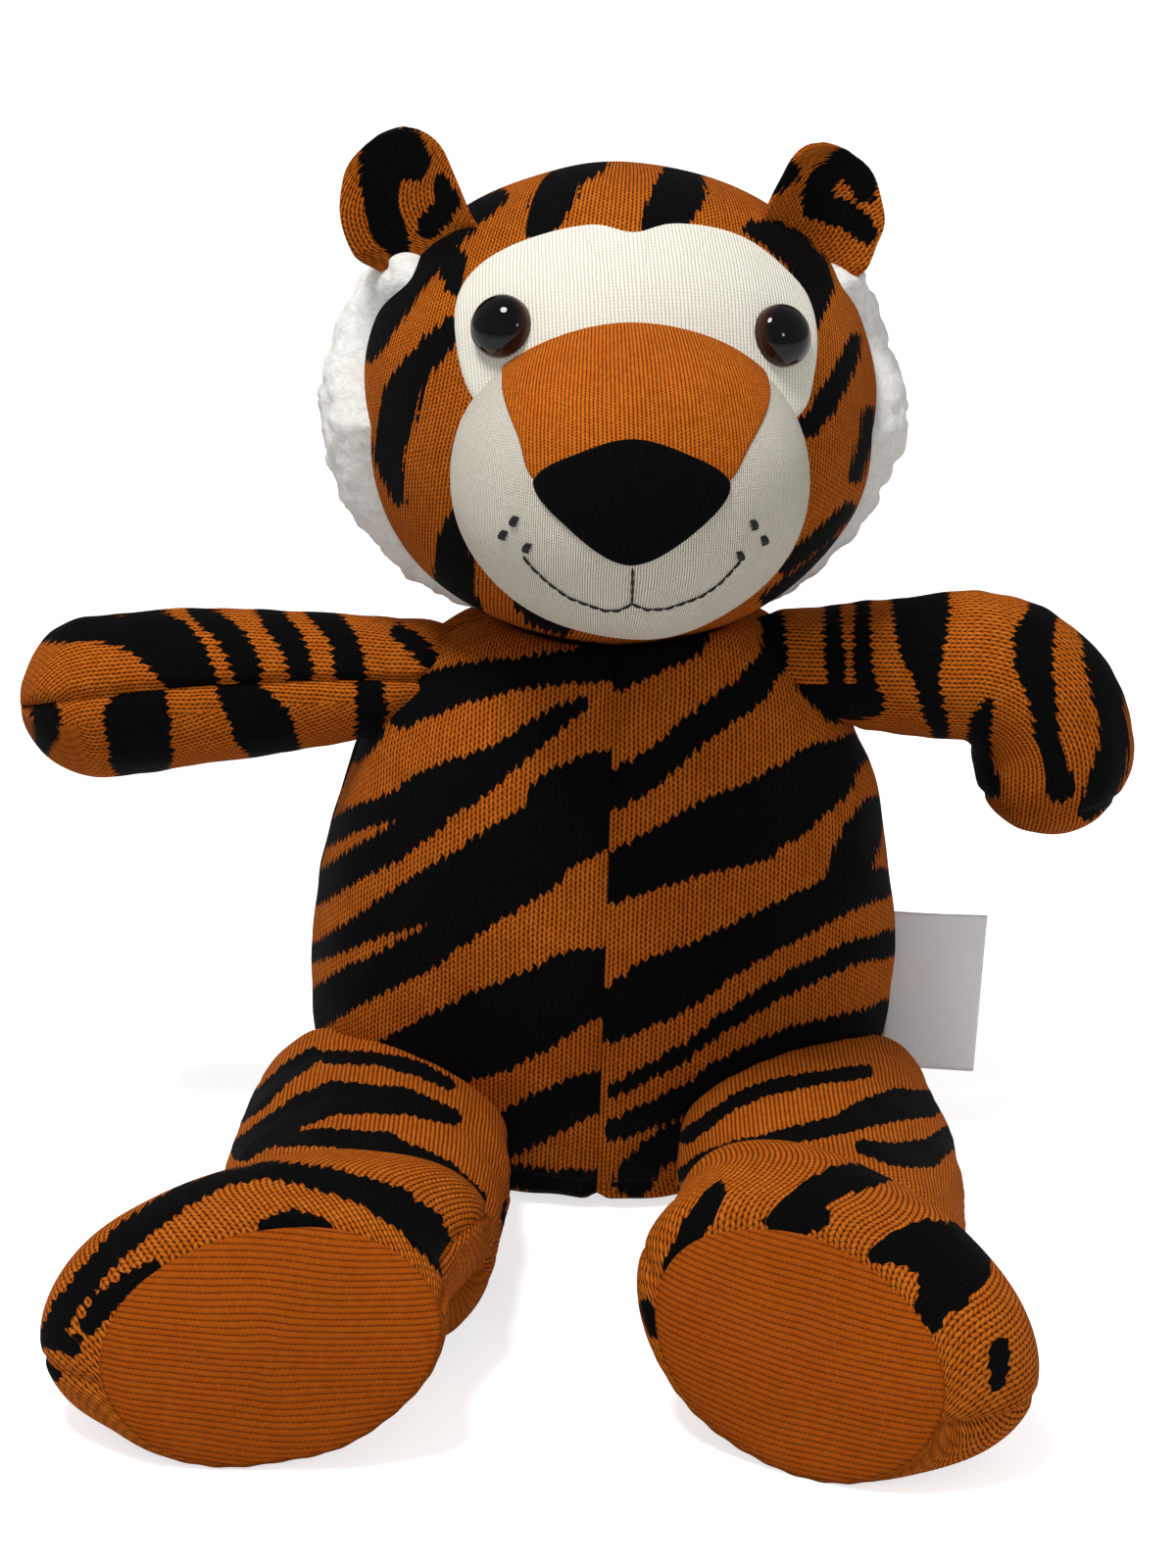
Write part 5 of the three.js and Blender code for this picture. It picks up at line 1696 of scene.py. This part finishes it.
def makeLabel():
    half = label["gap"] / 2 + label["ply"] / 2
    straight = label["reach"] + label["inside"] - half
    length = 2 * straight + halfTurn * half
    runs = np.concatenate(
        [np.linspace(0, straight, 24), straight + np.linspace(0, 1, 9)[1:] * halfTurn * half]
        + [np.linspace(length - straight, length, 24)[1:]]
    )
    alongs, shares = np.linspace(0, 1, 40), np.linspace(0, 1, len(runs))

    def ribbon(along, around):
        run = np.interp(around, shares, runs)
        up = along * label["height"]
        angle = np.clip((run - straight) / half, 0, halfTurn)
        flatRun = np.where(run <= straight, run, np.where(angle < halfTurn, straight, length - run))
        x = flatRun + half * np.sin(angle) - label["inside"]
        bow = 0.5 * np.sin(along * 2.6) * (x / label["reach"]) ** 2 + 0.25 * np.sin(x / 6 + up / 17)
        depth = bow * np.clip(x / 6, 0, 1) - half * np.cos(angle)
        points = np.stack([x, depth, up - label["height"] / 2], 1) @ turnAbout("Y", label["droop"])
        return points + np.array([label["root"], 0, label["bottom"] + label["height"] / 2])

    piece = gridPiece("side_label_ribbon", ribbon, alongs, shares, satinRibbon, alongTheCloth(0))
    wall = piece.modifiers.new("ply", "SOLIDIFY")
    wall.thickness, wall.offset = label["ply"] * mm, 0
    return piece, (length * mm, label["height"] * mm)


labelRibbon, labelFlat = makeLabel()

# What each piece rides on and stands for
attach(torsoCover, "torso")
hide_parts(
    "torso_front_left",
    "torso_front_right",
    "torso_back_left",
    "torso_back_right",
    "seat_panel",
    "torso_filling",
)
limbs = zip(("right", "left"), (-1, 1), armCovers, legCovers, footCovers, soleCovers)
for side, sign, arm, legCover, footCover, soleCover in limbs:
    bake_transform(arm)
    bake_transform(legCover)
    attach(footCover, f"foot_{side}")
    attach(soleCover, f"foot_{side}")
    for cover, limb in ((arm, "arm"), (legCover, "leg")):
        parts = ("upper_panel", "lower_panel", "filling")
        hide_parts(*(f"{limb}_{side}_{part}" for part in parts))
    parts = ("top_panel", "bottom_panel", "filling")
    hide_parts(*(f"foot_{side}_{part}" for part in parts))
    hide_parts(f"foot_{side}_sole")
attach(tailCover, "tail")
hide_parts("tail_left_panel", "tail_right_panel", "tail_filling")
headPieces = [faceCover, muzzleCover, foreheadPatch, bridgePatch, nosePatch, sherpaCover, mouthStitches]
for piece in headPieces + earCovers + eyes:
    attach(piece, "head")
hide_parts("face_panel", "head_filling")
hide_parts("muzzle_cover", "muzzle_filling")
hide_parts("forehead_patch")
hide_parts("nose_bridge")
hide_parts("nose_tip")
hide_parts("head_back")
for side, cover, dome in zip(("right", "left"), earCovers, eyes):
    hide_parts(f"ear_{side}_front", f"ear_{side}_back")
    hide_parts(f"eye_{side}", f"eye_{side}_washer")
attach(labelRibbon, "label")
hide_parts("side_label")
fills = [(torsoCover, torso), (tailCover, tail), (faceCover, head), (sherpaCover, head)]
fills += [(muzzleCover, muzzle)]
fills += [(cover, leg) for cover in legCovers] + [(cover, foot) for cover in footCovers + soleCovers]
fills += [(cover, rightArm) for cover in armCovers] + [(cover, ear) for cover in earCovers]
fills += [(patch, head) for patch in (foreheadPatch, bridgePatch, nosePatch)]
print("pieces placed on their bodies")

for piece in bpy.data.objects:
    if piece.type == "MESH" and "around" in piece.data.attributes:
        piece.data.attributes.remove(piece.data.attributes["around"])

# Studio: white floor and surroundings, one soft key from the upper left and a low fill
studio = {
    "world": 0.42,
    "lights": {
        "keyLight": {"place": (-0.38, -0.43, 1.68), "size": 0.45, "power": 22},
        "fillLight": {"place": (0.9, -1.2, 0.9), "size": 0.22, "power": 2.2},
    },
    "aim": (0, 0, 0.15),
    "floorTop": 0.69,
    "floorSize": 14,
}


def areaLight(name, place, size, power):
    data = bpy.data.lights.new(name, "AREA")
    data.shape = "DISK"
    data.energy, data.size = power, size
    holder = bpy.data.objects.new(name, data)
    holder.location = place
    towards = Vector(studio["aim"]) - Vector(place)
    holder.rotation_euler = towards.to_track_quat("-Z", "Y").to_euler()
    scene.collection.objects.link(holder)


def cameraOnly(nodes):
    # 1 where the camera looks straight at it, or by a reflection or through glass
    path = nodes.add("ShaderNodeLightPath")
    seen = nodes.math("MAXIMUM", path.outputs["Is Camera Ray"], path.outputs["Is Glossy Ray"])
    return nodes.math("MAXIMUM", seen, path.outputs["Is Transmission Ray"])


def makeStudio():
    for name, setup in studio["lights"].items():
        areaLight(name, **setup)
    world = bpy.data.worlds.new("studioWorld")
    scene.world = world
    world.use_nodes = True
    nodes = Nodes(world.node_tree)
    ground = world.node_tree.nodes["Background"]
    # white to the camera, dimmer as a light
    path = nodes.add("ShaderNodeLightPath")
    level = nodes.add("ShaderNodeMapRange")
    nodes.feed(level.inputs["Value"], path.outputs["Is Camera Ray"])
    level.inputs["To Min"].default_value = studio["world"]
    nodes.feed(ground.inputs["Strength"], level.outputs[0])
    ground.inputs["Color"].default_value = (1, 1, 1, 1)
    bm = bmesh.new()
    bmesh.ops.create_grid(bm, x_segments=1, y_segments=1, size=studio["floorSize"] / 2)
    material, nodes, shader = newMaterial("studioFloor", 1.0, specular=0.0)
    shader.inputs["Base Color"].default_value = (0.8, 0.8, 0.8, 1)
    shader.inputs["Emission Color"].default_value = (1, 1, 1, 1)
    top = nodes.times(cameraOnly(nodes), studio["floorTop"])
    nodes.feed(shader.inputs["Emission Strength"], top)
    newPiece("studioFloor", bm, material)
    scene.view_settings.view_transform = "Standard"


makeStudio()
print("studio made")
